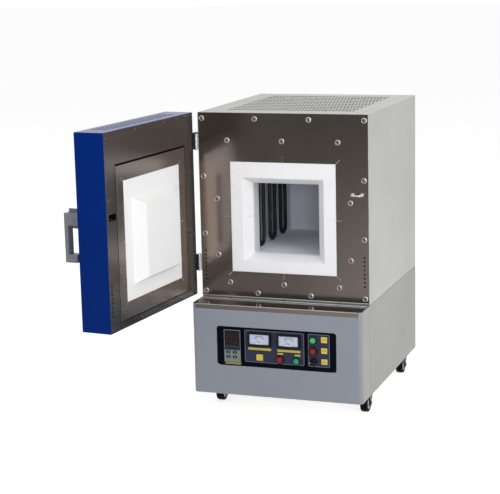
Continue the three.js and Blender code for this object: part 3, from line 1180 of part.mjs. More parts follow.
// Swivel fork of a caster with its axle; the wheel trails to the front
function casterFork({ x, y }) {
  const crownTop = BASE_FOOT - CASTER_PLATE_THICKNESS - RUNNING_GAP;
  const crownFoot = crownTop - CROWN_THICKNESS;
  const axleY = y - CASTER_TRAIL;
  const cheekX = WHEEL_WIDTH / 2 + RUNNING_GAP;
  const cheekEnd = AXLE_HEAD_RADIUS + FORK_CHEEK_THICKNESS;
  const cheekOutline = outline([
    [y - CROWN_RADIUS, crownTop], [y + FORK_CHEEK_WIDTH / 2, crownTop],
    [y + FORK_CHEEK_WIDTH / 2, crownFoot], [axleY + cheekEnd, WHEEL_CENTRE_HEIGHT - cheekEnd / 2],
    [axleY + cheekEnd / 2, WHEEL_CENTRE_HEIGHT - cheekEnd],
    [axleY - cheekEnd / 2, WHEEL_CENTRE_HEIGHT - cheekEnd], [axleY - cheekEnd, WHEEL_CENTRE_HEIGHT],
  ]);
  const cheeks = [
    prismYZ(cheekOutline, x + cheekX, x + cheekX + FORK_CHEEK_THICKNESS),
    prismYZ(cheekOutline, x - cheekX - FORK_CHEEK_THICKNESS, x - cheekX),
  ];
  const crown = rod("z", CROWN_RADIUS, crownFoot, crownTop, x, y, ROUND_SIDES);
  const bore = rod("z", KINGPIN_RADIUS + SEAT_GAP, crownFoot - OVERRUN, crownTop + OVERRUN, x, y);
  const axleEnd = cheekX + FORK_CHEEK_THICKNESS;
  const axle = rod("x", AXLE_RADIUS, x - axleEnd, x + axleEnd, axleY, WHEEL_CENTRE_HEIGHT, ROUND_SIDES);
  const heads = [-1, 1].map((side) => {
    const from = x + side * axleEnd;
    const to = from + side * AXLE_HEAD_HEIGHT;
    return rod("x", AXLE_HEAD_RADIUS, Math.min(from, to), Math.max(from, to), axleY, WHEEL_CENTRE_HEIGHT,
      ROD_SIDES / 2);
  });
  return join(cut(join(crown, ...cheeks), bore), axle, ...heads);
}

// Wheel with a dished hub, turned round its axle, which lies along X
function casterWheel({ x, y }) {
  const half = WHEEL_WIDTH / 2;
  const dished = half - WHEEL_HUB_DISH;
  const profile = [
    [WHEEL_BORE_RADIUS, -half], [WHEEL_HUB_RADIUS / 2, -half], [WHEEL_HUB_RADIUS / 2 + SEAT_GAP, -dished],
    [WHEEL_HUB_RADIUS, -dished], [WHEEL_HUB_RADIUS + SEAT_GAP, -half],
    [WHEEL_RADIUS - WHEEL_TREAD_CHAMFER, -half], [WHEEL_RADIUS, -half + WHEEL_TREAD_CHAMFER],
    [WHEEL_RADIUS, half - WHEEL_TREAD_CHAMFER], [WHEEL_RADIUS - WHEEL_TREAD_CHAMFER, half],
    [WHEEL_HUB_RADIUS + SEAT_GAP, half], [WHEEL_HUB_RADIUS, dished], [WHEEL_HUB_RADIUS / 2 + SEAT_GAP, dished],
    [WHEEL_HUB_RADIUS / 2, half], [WHEEL_BORE_RADIUS, half], [WHEEL_BORE_RADIUS, -half],
  ];
  const points = profile.map(([radius, along]) => new THREE.Vector2(radius, along));
  const geometry = new THREE.LatheGeometry(points, WHEEL_SIDES).rotateZ(-Math.PI / 2);
  return toSolid(geometry.translate(x, y - CASTER_TRAIL, WHEEL_CENTRE_HEIGHT));
}

// Puts the sub-assemblies together
function buildBase(group) {
  piece(group, "base_chassis", baseChassis(), ZINC);
  piece(group, "base_front_panel", baseFrontPanel(), LILAC_GREY_PAINT);
  piece(group, "base_casing", baseCasing(), WARM_GREY_PAINT);
  piece(group, "ledge_plate", ledgePlate(), STAINLESS);
  piece(group, "sill_strip", sillStrip(), STAINLESS);
  piece(group, "transformer", transformer(), COPPER_AND_IRON);
  piece(group, "power_regulator", powerRegulator(), ALUMINIUM);
  for (const place of casterPlaces()) {
    piece(group, `caster_fork_${place.name}`, casterFork(place), BLACK_STEEL);
    piece(group, `caster_wheel_${place.name}`, casterWheel(place), TYRE_BLACK);
  }
}

function buildCabinet(group) {
  piece(group, "side_panel_right", sidePanel(), WARM_GREY_PAINT);
  piece(group, "side_panel_left", mirrored(sidePanel()), WARM_GREY_PAINT);
  piece(group, "rear_panel", rearPanel(), WARM_GREY_PAINT);
  piece(group, "top_vent_panel", topPanel(), WARM_GREY_PAINT);
  piece(group, "front_plate", frontPlate(), STAINLESS);
  piece(group, "latch_keeper", latchKeeper(), ZINC);
  HINGE_CENTRES.forEach((middle, i) => {
    piece(group, `hinge_leaf_${["upper", "lower"][i]}`, cabinetLeaf(middle), ZINC);
  });
}

function buildChamber(group) {
  const boards = chamberBoards();
  piece(group, "fibre_collar", fibreCollar(), FIBRE);
  piece(group, "chamber_hearth", boards.hearth, CHAMBER_BOARD);
  piece(group, "chamber_roof", boards.roof, CHAMBER_BOARD);
  piece(group, "chamber_wall_right", boards.wall, CHAMBER_BOARD);
  piece(group, "chamber_wall_left", mirrored(boards.wall), CHAMBER_BOARD);
  piece(group, "chamber_rear", boards.rear, CHAMBER_BOARD);
  for (const place of elementPlaces()) {
    piece(group, `heating_element_${place.name}`, heatingElement(place), ELEMENT_DARK);
  }
  piece(group, "thermocouple", thermocouple(), ZINC);
}

function buildControls(group) {
  piece(group, "control_window", controlWindow(), PANEL_BLACK);
  piece(group, "controller", controller(), BLACK_PLASTIC);
  keyPlaces().forEach((place, i) => {
    piece(group, `controller_key_${i + 1}`, controllerKey(place), KEY_GREY);
  });
  METER_CENTRES.forEach((x, i) => {
    const name = ["ammeter", "voltmeter"][i];
    piece(group, name, meter(x), BLACK_PLASTIC);
    piece(group, `${name}_needle`, meterNeedle(x), BLACK_PLASTIC);
  });
  for (const { name, place, material } of buttonPlaces()) {
    piece(group, name, pushButton(place), material);
  }
  piece(group, "selector_knob", selectorKnob(), BLACK_PLASTIC);
}

function buildDoor(group) {
  piece(group, "door_shell", doorShell(), BLUE_PAINT);
  piece(group, "door_inner_plate", doorInnerPlate(), STAINLESS);
  piece(group, "plug_plate", plugPlate(), STAINLESS);
  piece(group, "door_plug", doorPlug(), FIBRE);
  piece(group, "door_insulation", doorInsulation(), FIBRE);
  HINGE_CENTRES.forEach((middle, i) => {
    piece(group, `door_hinge_leaf_${["upper", "lower"][i]}`, doorLeaf(middle), ZINC);
  });
  piece(group, "latch_bracket", latchBracket(), GREY_HANDLE);
  piece(group, "latch_handle", latchHandle(), GREY_HANDLE);
}

// The door swings about its hinge axis
function openDoor() {
  const swing = new THREE.Group();
  const closed = new THREE.Group();
  closed.position.set(-HINGE_X, -HINGE_BACK_OFFSET, 0);
  swing.add(closed);
  swing.position.set(HINGE_X, HINGE_BACK_OFFSET, 0);
  swing.rotation.z = -THREE.MathUtils.degToRad(DOOR_OPEN_DEGREES);
  buildDoor(closed);
  return swing;
}

// The whole furnace, moved so that it stands on zero height with its middle over the zero point
function buildFurnace() {
  const furnace = new THREE.Group();
  buildBase(furnace);
  buildCabinet(furnace);
  buildChamber(furnace);
  buildControls(furnace);
  furnace.add(openDoor());
  furnace.updateMatrixWorld(true);
  const bounds = new THREE.Box3().setFromObject(furnace, true);
  const middle = bounds.getCenter(new THREE.Vector3());
  furnace.position.set(-middle.x, -middle.y, -bounds.min.z);
  return furnace;
}

const part = new THREE.Group();
part.add(buildFurnace());
export default part;
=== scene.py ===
"""A high-temperature box furnace with its door open, dressed for a studio picture.

Every piece is drawn in millimetres in the cabinet's own frame: X to the right, Y to the back, Z up,
zero at the foot of the front plate. The door is drawn closed and turned open on its hinges.
"""

import logging
import math
from collections.abc import Iterable, Sequence
from dataclasses import dataclass, field
from enum import Enum
from functools import cached_property
from typing import ClassVar

import bmesh
import bpy
from mathutils import Matrix, Vector


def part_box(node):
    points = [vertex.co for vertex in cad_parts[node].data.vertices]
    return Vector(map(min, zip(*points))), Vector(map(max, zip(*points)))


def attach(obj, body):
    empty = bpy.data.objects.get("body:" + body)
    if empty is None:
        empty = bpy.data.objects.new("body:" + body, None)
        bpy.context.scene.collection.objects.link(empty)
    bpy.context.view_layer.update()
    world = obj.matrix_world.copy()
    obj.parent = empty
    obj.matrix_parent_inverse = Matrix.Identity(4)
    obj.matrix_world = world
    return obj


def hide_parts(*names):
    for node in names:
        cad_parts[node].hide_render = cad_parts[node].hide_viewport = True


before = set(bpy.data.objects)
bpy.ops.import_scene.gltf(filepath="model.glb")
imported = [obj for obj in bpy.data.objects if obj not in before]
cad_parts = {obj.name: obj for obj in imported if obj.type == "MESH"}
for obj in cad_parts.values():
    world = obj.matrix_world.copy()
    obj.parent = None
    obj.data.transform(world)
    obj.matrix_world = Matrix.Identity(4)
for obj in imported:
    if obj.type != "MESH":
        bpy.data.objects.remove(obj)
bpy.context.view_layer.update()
LOG = logging.getLogger("furnace")

Point = tuple[float, float]
Colour = tuple[float, float, float, float]
MM = 0.001
DOOR_OPEN = math.radians(-95.1)
HINGE = Vector((-246.5, 2.0, 0.0))
DOOR_GAP = 4.0
DOOR_DEPTH = 82.7
COLLAR_FOOT = 70.0
CABINET_DEPTH = 526.0
CABINET_TOP = 506.99
VENT_X = 226.5
VENT_FOOT = 45.5
VENT_PITCH = 11.3
SIDES = (-1, 1)


def cabinet_matrix() -> Matrix:
    """Turns cabinet millimetres into the frame's metres.

    Returns:
        The matrix, found from where the packed fibre collar stands.
    """
    low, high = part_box("fibre_collar")
    origin = Vector(((low.x + high.x) / 2, low.y, low.z - COLLAR_FOOT * MM))
    return Matrix.Translation(origin) @ Matrix.Scale(MM, 4)


CABINET = cabinet_matrix()
DOOR = CABINET @ Matrix.Translation(HINGE) @ Matrix.Rotation(DOOR_OPEN, 4, "Z") @ Matrix.Translation(-HINGE)


def ink(code: str) -> Colour:
    """Linear colour of a printed colour code, by the sRGB standard's curve.

    Args:
        code: Six hexadecimal digits after a hash sign.

    Returns:
        Red, green, blue and a full alpha.
    """
    shown = [int(code[i:i + 2], 16) / 255 for i in (1, 3, 5)]
    red, green, blue = (c / 12.92 if c <= 0.04045 else ((c + 0.055) / 1.055) ** 2.4 for c in shown)
    return (red, green, blue, 1.0)


# Node trees as Python expressions

class Value:
    """One output of a node tree, on which Python's operators work."""

    def __init__(self, nodes: "Nodes", socket: bpy.types.NodeSocket) -> None:
        """Keeps the tree and the socket."""
        self.nodes = nodes
        self.socket = socket

    def __add__(self, other: "Value | float") -> "Value":
        """Sum."""
        return self.nodes.maths("ADD", self, other)

    def __sub__(self, other: "Value | float") -> "Value":
        """Difference."""
        return self.nodes.maths("SUBTRACT", self, other)

    def __rsub__(self, other: float) -> "Value":
        """Difference, turned round."""
        return self.nodes.maths("SUBTRACT", other, self)

    def __mul__(self, other: "Value | float") -> "Value":
        """Product."""
        return self.nodes.maths("MULTIPLY", self, other)

    def __truediv__(self, other: "Value | float") -> "Value":
        """Quotient."""
        return self.nodes.maths("DIVIDE", self, other)

    def __pow__(self, other: float) -> "Value":
        """Power."""
        return self.nodes.maths("POWER", self, other)

    def __mod__(self, other: float) -> "Value":
        """Remainder, never negative."""
        return self.nodes.maths("FLOORED_MODULO", self, other)

    __radd__ = __add__
    __rmul__ = __mul__

    def size(self) -> "Value":
        """Distance from zero."""
        return self.nodes.maths("ABSOLUTE", self)

    def between(self, low: float, high: float) -> "Value":
        """Rises smoothly from 0 at low to 1 at high.

        Args:
            low: Where it is still 0.
            high: Where it reaches 1. It may be below low, and then the value falls.

        Returns:
            The eased share.
        """
        settings = {"interpolation_type": "SMOOTHSTEP"}
        values = {0: self, 1: low, 2: high}
        if high < low:
            return 1.0 - self.between(high, low)
        return Value(self.nodes, self.nodes.node("ShaderNodeMapRange", settings, values).outputs[0])


class Nodes:
    """A node tree that is filled by expressions."""

    def __init__(self, tree: bpy.types.NodeTree) -> None:
        """Keeps the tree."""
        self.tree = tree

    def node(self, kind: str, settings: dict | None = None, values: dict | None = None) -> bpy.types.Node:
        """Adds one node.

        Args:
            kind: The node's type.
            settings: Its own settings, set first.
            values: Values or links of its sockets, by name or number.

        Returns:
            The new node.
        """
        made = self.tree.nodes.new(kind)
        for key, value in (settings or {}).items():
            setattr(made, key, value)
        for key, value in (values or {}).items():
            source = value.socket if isinstance(value, Value) else value
            if isinstance(source, bpy.types.NodeSocket):
                self.tree.links.new(source, made.inputs[key])
            else:
                made.inputs[key].default_value = source
        return made

    def maths(self, operation: str, *values: "Value | float") -> Value:
        """Result of one Math node of the named operation."""
        made = self.node("ShaderNodeMath", {"operation": operation}, dict(enumerate(values)))
        return Value(self, made.outputs[0])

    def seen_rays(self) -> Value:
        """1 for what the camera, gloss or a clear pane sees, and 0 for the light that falls on things.

        Returns:
            The value.
        """
        rays = self.node("ShaderNodeLightPath").outputs
        camera, gloss, through = (Value(self, rays[f"Is {kind} Ray"])
                                  for kind in ("Camera", "Glossy", "Transmission"))
        return self.maths("MAXIMUM", camera, self.maths("MAXIMUM", gloss, through))


class Paint(Nodes):
    """A material under construction."""

    def __init__(self, name: str) -> None:
        """Starts an empty material.

        Args:
            name: Its name.
        """
        self.material = bpy.data.materials.new(name)
        self.material.use_nodes = True
        self.material.node_tree.nodes.clear()
        super().__init__(self.material.node_tree)
        self.place = self.node("ShaderNodeTexCoord").outputs["Object"]

    def axis(self, letter: str) -> Value:
        """Place along X, Y or Z in metres."""
        split = self.node("ShaderNodeSeparateXYZ", values={0: self.place})
        return Value(self, split.outputs[letter])

    def noise(self, stretch: float | Sequence[float], detail: float = 3.0, rough: float = 0.5,
              shift: float = 0.0) -> Value:
        """Cloudy noise.

        Args:
            stretch: How quickly it changes per metre, along every axis or along each.
            detail: How many finer layers it has.
            rough: How strong those are.
            shift: Moves the pattern.

        Returns:
            Values round 0.5.
        """
        rates = tuple(stretch) if isinstance(stretch, Sequence) else (stretch,) * 3
        scaled = self.node("ShaderNodeVectorMath", {"operation": "MULTIPLY_ADD"},
                           {0: self.place, 1: rates, 2: (shift,) * 3})
        made = self.node("ShaderNodeTexNoise", values={
            "Vector": scaled.outputs[0], "Scale": 1.0, "Detail": detail, "Roughness": rough})
        return Value(self, made.outputs[0])

    def mix(self, first: "Value | Colour", second: "Value | Colour", share: "Value | float") -> Value:
        """Colour between two colours."""
        made = self.node("ShaderNodeMix", {"data_type": "RGBA"}, {0: share, 6: first, 7: second})
        return Value(self, made.outputs[2])

    def bump(self, height: Value, strength: float, depth: float) -> Value:
        """Surface normal of a height from 0 to 1, where 1 stands for a depth in metres."""
        made = self.node("ShaderNodeBump", values={"Strength": strength, "Distance": depth, "Height": height})
        return Value(self, made.outputs[0])

    def surface(self, **values: "Value | float | Colour") -> bpy.types.Material:
        """Ends the material with one shader.

        Args:
            values: The shader's sockets, with spaces as underscores.

        Returns:
            The material.
        """
        named = {key.replace("_", " "): value for key, value in values.items()}
        shader = self.node("ShaderNodeBsdfPrincipled", values=named)
        self.node("ShaderNodeOutputMaterial", values={"Surface": shader.outputs[0]})
        return self.material

    def glow(self, colour: "Value | Colour") -> bpy.types.Material:
        """Ends the material as an even glow."""
        return self.surface(Base_Color=(0, 0, 0, 1), Roughness=1.0, Specular_IOR_Level=0.0,
                            Emission_Color=colour, Emission_Strength=1.0)


# Finishes

@dataclass(frozen=True)
class PowderCoat:
    """Baked powder paint on sheet steel."""

    name: str
    colour: str
    cloud: str
    gloss: float = 0.38
    peel: float = 0.25
    sheen: float = 0.35
    dusty: float = 0.06
    tint: str = "#ffffff"
    shade_split_tone: str | None = None
    coat: float = 0.08
    shade_split_from: float = 0.230
    shade_split_to: float = 0.2385

    def material(self) -> bpy.types.Material:
        """Paint with orange peel, faint clouds, a little dust and, if asked, a two-tone split by distance
        from the cabinet's middle that paints shade on one side.

        Returns:
            The material.
        """
        paint = Paint(self.name)
        clouds = paint.noise(3, 4, 0.55)
        dust = paint.noise((22, 22, 30), 5, 0.65, 3.0).between(0.52, 0.82)
        colour = paint.mix(ink(self.colour), ink(self.cloud), clouds.between(0.35, 0.75))
        colour = paint.mix(colour, ink("#8f8c86"), dust * self.dusty)
        # Painted shade: the colour splits by distance from the cabinet's middle, and one side of the split
        # stands for shade.
        if self.shade_split_tone is not None:
            shade_split_share = (paint.axis("X") - CABINET.translation.x).size().between(self.shade_split_from, self.shade_split_to)
            colour = paint.mix(colour, ink(self.shade_split_tone), shade_split_share)
        peel = paint.noise(420, 2, 0.5) * 0.8 + paint.noise(1500, 1) * 0.2
        rough = self.gloss + dust * (self.dusty * 2) + (clouds - 0.5) * 0.08
        return paint.surface(Base_Color=colour, Roughness=rough, Normal=paint.bump(peel, self.peel, 0.00012),
                             Coat_Weight=self.coat, Coat_Roughness=0.25, Specular_IOR_Level=self.sheen,
                             Specular_Tint=ink(self.tint))


class Grain(Enum):
    """Which way the brushing of a metal sheet runs, as noise changes per metre."""

    UPRIGHT_PLATE = (5.0, 5.0, 1400.0)
    LEVEL_PLATE = (5.0, 1400.0, 5.0)
    PLAIN = (500.0, 500.0, 500.0)


@dataclass(frozen=True)
class BrushedMetal:
    """Bare metal with fine brushing, smears and small colour drift."""

    name: str
    colour: str
    drift: str
    grain: Grain
    rough: float = 0.3
    streaks: float = 0.12
    smears: float = 0.05

    def material(self) -> bpy.types.Material:
        """Metal whose streaks change both its roughness and its normal.

        Returns:
            The material.
        """
        paint = Paint(self.name)
        streak = paint.noise(self.grain.value, 3, 0.6)
        broad = paint.noise([v / 9 if v > 100 else v for v in self.grain.value], 2, 0.5, 7.0)
        cloud = paint.noise((4, 4, 3), 3, 0.5, 2.0).between(0.3, 0.75)
        smear = paint.noise((14, 14, 9), 5, 0.65, 5.0).between(0.5, 0.8)
        colour = paint.mix(ink(self.colour), ink(self.drift), cloud * 0.7 + (streak - 0.5) * 0.4)
        rough = self.rough + (streak - 0.5) * self.streaks + (broad - 0.5) * 0.06 + smear * self.smears
        height = streak * 0.7 + broad * 0.3
        return paint.surface(Base_Color=colour, Roughness=rough, Metallic=1.0,
                             Normal=paint.bump(height, 0.22, 0.00003))


@dataclass(frozen=True)
class HingeMetal:
    """Plated steel whose knuckles carry a painted highlight."""

    name: str
    knuckle: float = 0.0051

    def material(self) -> bpy.types.Material:
        """Dull leaves, and bright metal close to the hinge's axis as a painted highlight.

        Returns:
            The material.
        """
        paint = Paint(self.name)
        axis = CABINET @ HINGE
        away = ((paint.axis("X") - axis.x) ** 2.0 + (paint.axis("Y") - axis.y) ** 2.0) ** 0.5
        fine = paint.noise(700, 3, 0.6)
        # Painted highlight: metal within the knuckles' radius is painted bright.
        wear_and_highlight = away.between(self.knuckle + 0.0004, self.knuckle - 0.0004)
        colour = paint.mix(ink("#4b4a49"), ink("#dcdad6"), wear_and_highlight * (fine * 0.3 + 0.8))
        rough = 0.34 - wear_and_highlight * 0.08 + (fine - 0.5) * 0.1
        return paint.surface(Base_Color=colour, Roughness=rough, Metallic=1.0,
                             Normal=paint.bump(fine, 0.15, 0.00003))


@dataclass(frozen=True)
class Backdrop:
    """Dark board seen by gloss only, lighter to the right and to the foot."""

    name: str
    dark: float
    light: float
    left: float = -520.0
    right: float = -180.0

    def material(self) -> bpy.types.Material:
        """Glow that eases from dark to light.

        Returns:
            The material.
        """
        paint = Paint(self.name)
        edges = [(CABINET @ Vector((x, 0, 0))).x for x in (self.left, self.right)]
        levels = [(CABINET @ Vector((0, 0, z))).z for z in (320, -300)]
        low = paint.axis("Z").between(*levels)
        share = paint.axis("X").between(*edges) * low * 0.75 + low * 0.25
        grey = share * (self.light - self.dark) + self.dark
        shade = paint.node("ShaderNodeCombineColor", values={0: grey, 1: grey, 2: grey})
        return paint.glow(Value(paint, shade.outputs[0]))


@dataclass(frozen=True)
class FibreBoard:
    """Vacuum-formed ceramic fibre."""

    name: str
    colour: str
    stain: str
    stained: float = 0.25
    joint_height: float | None = None
    greyed_from: float | None = None

    def material(self) -> bpy.types.Material:
        """Dry white board with soft pits and faint stains, and a hairline joint or a greyed depth if asked.

        Returns:
            The material.
        """
        paint = Paint(self.name)
        fine = paint.noise(900, 3, 0.6)
        soft = paint.noise(60, 4, 0.55, 1.0)
        stain = paint.noise((9, 9, 14), 5, 0.6, 4.0).between(0.45, 0.8)
        colour = paint.mix(ink(self.colour), ink(self.stain), stain * self.stained + (soft - 0.5) * 0.12)
        height = fine * 0.45 + soft * 0.55
        if self.joint_height is not None:
            away = (paint.axis("Z") - self.joint_height + (soft - 0.5) * 0.0016).size()
            line = away.between(0.0007, 0.0002)
            broken = line * paint.noise((30, 30, 5), 3, 0.6, 9.0).between(0.38, 0.56)
            colour = paint.mix(colour, ink("#9d9ea3"), broken * 0.8)
            height = height - broken * 0.8
        # Greyer deeper into the neck than this depth.
        if self.greyed_from is not None:
            depth = paint.axis("Y") + (soft - 0.5) * 0.003
            toned = depth.between(self.greyed_from - 0.004, self.greyed_from + 0.012)
            colour = paint.mix(colour, ink("#d5d7dd"), toned)
        return paint.surface(Base_Color=colour, Roughness=0.93, Normal=paint.bump(height, 0.4, 0.0004),
                             Specular_IOR_Level=0.2)


@dataclass(frozen=True)
class Moulded:
    """Moulded plastic or rubber."""

    name: str
    colour: str
    wear_and_highlight: str
    rough: float = 0.45
    speckle: float = 0.2
    coat: float = 0.0
    sheen: float = 0.3

    def material(self) -> bpy.types.Material:
        """Plastic with a fine moulded texture and slight rubbing.

        Returns:
            The material.
        """
        paint = Paint(self.name)
        fine = paint.noise(2200, 2, 0.5)
        rubbed = paint.noise(70, 4, 0.6, 2.0).between(0.5, 0.78)
        colour = paint.mix(ink(self.colour), ink(self.wear_and_highlight), rubbed * 0.5)
        rough = self.rough + rubbed * 0.1 + (fine - 0.5) * 0.05
        return paint.surface(Base_Color=colour, Roughness=rough, Coat_Weight=self.coat, Coat_Roughness=0.08,
                             Specular_IOR_Level=self.sheen, Normal=paint.bump(fine, self.speckle, 0.00006))


@dataclass(frozen=True)
class FiredElement:
    """Dark glazed surface of a heating element."""

    name: str

    def material(self) -> bpy.types.Material:
        """Nearly black with a brownish bloom and glassy patches.

        Returns:
            The material.
        """
        paint = Paint(self.name)
        bloom = paint.noise((60, 60, 18), 5, 0.6).between(0.42, 0.75)
        fine = paint.noise((900, 900, 500), 3, 0.6)
        colour = paint.mix(ink("#070608"), ink("#241e1c"), bloom * 0.3)
        return paint.surface(Base_Color=colour, Roughness=0.5 + bloom * 0.3, Specular_IOR_Level=0.35,
                             Normal=paint.bump(fine, 0.3, 0.0001))


@dataclass(frozen=True)
class ClearPane:
    """Thin clear window of an instrument."""

    name: str
    cover: float = 0.12

    def material(self) -> bpy.types.Material:
        """Mostly see-through, with a gloss and a few wipe marks.

        Returns:
            The material.
        """
        paint = Paint(self.name)
        wipe = paint.noise((90, 90, 30), 4, 0.6)
        return paint.surface(Base_Color=ink("#dfe4ec"), Roughness=0.04 + wipe * 0.08, Alpha=self.cover,
                             Specular_IOR_Level=0.6)


@dataclass(frozen=True)
class Printed:
    """Printed or self-coloured card and film."""

    name: str
    colour: str
    toned: str
    rough: float = 0.5

    def material(self) -> bpy.types.Material:
        """Flat ink with slight ageing.

        Returns:
            The material.
        """
        paint = Paint(self.name)
        toned = paint.noise(60, 4, 0.6).between(0.4, 0.8)
        grain = paint.noise(1800, 2)
        colour = paint.mix(ink(self.colour), ink(self.toned), toned * 0.6)
        return paint.surface(Base_Color=colour, Roughness=self.rough + toned * 0.1,
                             Normal=paint.bump(grain, 0.15, 0.00004))


COLLAR_JOINT = (CABINET @ Vector((0, 0, 222))).z
COLLAR_NECK = (CABINET @ Vector((0, 28, 0))).y


class Finish(Enum):
    """Every finish of the furnace, made as a material when it is first used."""

    SIDE_PAINT = PowderCoat("warm_grey_paint", "#b8b9b3", "#b0b1ab")
    BASE_PAINT = PowderCoat("base_grey_paint", "#939391", "#8d8d8b")
    # The cover's front face keeps a darker, bluer grey that is partly painted shade; its flanks take the
    # base's grey.
    FRONT_PAINT = PowderCoat("lilac_grey_paint", "#8c919c", "#878c97", shade_split_tone="#939391")
    DOOR_PAINT = PowderCoat("blue_paint", "#002676", "#01236a", 0.24, 0.3, 0.22, 0.0, "#a8c8ff", coat=0.0)
    PLATE = BrushedMetal("brushed_plate", "#857a74", "#8c817b", Grain.UPRIGHT_PLATE, 0.15, 0.06)
    DOOR_PLATE = BrushedMetal("brushed_door_plate", "#74706d", "#7c7774", Grain.UPRIGHT_PLATE, 0.24, 0.08)
    TRAY = BrushedMetal("brushed_tray", "#948c85", "#9b938c", Grain.UPRIGHT_PLATE, 0.24, 0.08)
    DECK = BrushedMetal("brushed_deck", "#a3a09d", "#aaa7a4", Grain.LEVEL_PLATE, 0.12, 0.05)
    TRIM = BrushedMetal("bright_trim", "#918f8c", "#858380", Grain.LEVEL_PLATE, 0.36, 0.08)
    # Bright rods along the sill's edges, as painted highlight lines.
    HEM = BrushedMetal("bright_hem", "#e3e6e8", "#d4d7d9", Grain.PLAIN, 0.3, 0.05)
    LIP = BrushedMetal("ledge_lip", "#8f867e", "#857c74", Grain.LEVEL_PLATE, 0.4, 0.06)
    # Pale, rough metal for the washers, the keeper and the ledge's edge rod; its brightness is partly a
    # painted highlight.
    RING = BrushedMetal("screw_ring", "#dcd8d2", "#c9c4be", Grain.PLAIN, 0.42, 0.06)
    HINGE_STEEL = HingeMetal("hinge_metal")
    HEARTH = FibreBoard("hearth_board", "#f0f1f6", "#d6d7de", 0.4)
    ZINC = BrushedMetal("zinc_plate", "#c2c2c0", "#9a9997", Grain.PLAIN, 0.27, 0.1)
    SCREW = BrushedMetal("screw_steel", "#7d7871", "#6b665f", Grain.PLAIN, 0.3, 0.06)
    DARK_STEEL = BrushedMetal("dark_steel", "#161517", "#0e0e10", Grain.PLAIN, 0.32, 0.1)
    HANDLE = PowderCoat("grey_handle_coat", "#7d7e86", "#74757d", 0.35, 0.2)
    # The lever's hook, where it reaches into the door's latch slot, is painted near-black as painted shade.
    LEVER = PowderCoat("grey_lever_coat", "#7d7e86", "#74757d", 0.35, 0.2, shade_split_tone="#0b0b0c",
                       shade_split_from=0.352, shade_split_to=0.344)
    FIBRE = FibreBoard("white_fibre", "#ededf0", "#e4dfd4", 0.35, COLLAR_JOINT, COLLAR_NECK)
    PLUG = FibreBoard("white_plug", "#efeff0", "#e9e7df", 0.3)
    BOARD = FibreBoard("used_board", "#cccfda", "#b8bac5", 0.4)
    FILLER = FibreBoard("fibre_filler", "#b4b3af", "#a4a29b", 0.4)
    # Near-black sheet under the top grille, as painted shade.
    LINER = Moulded("dark_liner", "#1b1b1a", "#242423", 0.8, 0.1, 0.0, 0.1)
    # Black for sheets set behind vents and gaps as painted shade.
    ELEMENT = FiredElement("fired_element")
    CERAMIC = Moulded("ceramic_holder", "#dcd6c8", "#c5bca9", 0.55, 0.3)
    PANEL = Moulded("panel_black", "#060a12", "#0a0d16", 0.5, 0.1, 0.0, 0.04)
    FIELD = Moulded("panel_field", "#2d3248", "#333852", 0.42, 0.12, 0.0, 0.2)
    OUTLINE = Printed("panel_outline", "#6a6e80", "#5c6072")
    BLACK = Moulded("black_plastic", "#0c0d10", "#17181c", 0.32, 0.15)
    HOLLOW = Moulded("black_hollow", "#020203", "#040405", 0.9, 0.1)
    FASCIA = Moulded("grey_fascia", "#76827e", "#6c7874", 0.45, 0.15)
    DISPLAY = Moulded("display_pane", "#1a1012", "#141a20", 0.14, 0.05, 0.15)
    DISPLAY_LOW = Moulded("display_film", "#142733", "#101e28", 0.3, 0.05)
    DIGIT = Printed("unlit_digit", "#38191a", "#2f1617", 0.4)
    MARK = Printed("grey_mark", "#6f7683", "#59606c")
    KEY = Moulded("key_rubber", "#101c1e", "#1b282a", 0.5, 0.2)
    KEY_MARK = Printed("key_mark", "#a3b2ae", "#96a5a1")
    YELLOW = Printed("yellow_film", "#c9b845", "#b5a23a", 0.42)
    OLIVE = Printed("olive_film", "#8f8a3c", "#7a7536", 0.42)
    GOLD = Printed("yellow_square", "#d8c04c", "#b79e2e", 0.42)
    PRINT = Printed("dark_print", "#4a4018", "#57491a")
    DIAL = Printed("dial_card", "#cdd5ee", "#bcc6e4", 0.5)
    DIAL_INK = Printed("dial_ink", "#1f2745", "#171d38")
    ARCH = Printed("dial_cover", "#e6e9f4", "#dfe2ee", 0.4)
    PANE = ClearPane("clear_pane")
    RED = Moulded("red_lens", "#8c1028", "#760b20", 0.25, 0.1, 0.4)
    RED_RIM = Moulded("red_rim", "#3c0511", "#32040e", 0.35, 0.1)
    GREEN = Moulded("green_lens", "#2c8e68", "#227a58", 0.25, 0.1, 0.4)
    LIGHT_GREEN = Moulded("light_green_lens", "#55ad72", "#479e64", 0.25, 0.1, 0.4)
    GREEN_RIM = Moulded("green_rim", "#0b3a2b", "#082f22", 0.35, 0.1)
    WHITE = Printed("white_mark", "#dfe2e8", "#d3d6dd")
    WHEEL = Moulded("wheel_nylon", "#070708", "#0e0e10", 0.5, 0.3, 0.0, 0.06)
    HUB = Moulded("wheel_hub", "#cfd0d4", "#b9babe", 0.4, 0.2)
    WINDING = Moulded("transformer_lacquer", "#6b4a30", "#54402f", 0.4, 0.3)
    ALUMINIUM = BrushedMetal("aluminium", "#b4b6b8", "#9fa1a3", Grain.PLAIN, 0.35)

    @cached_property
    def material(self) -> bpy.types.Material:
        """The material, made once.

        Returns:
            The material.
        """
        return self.value.material()


# Meshes

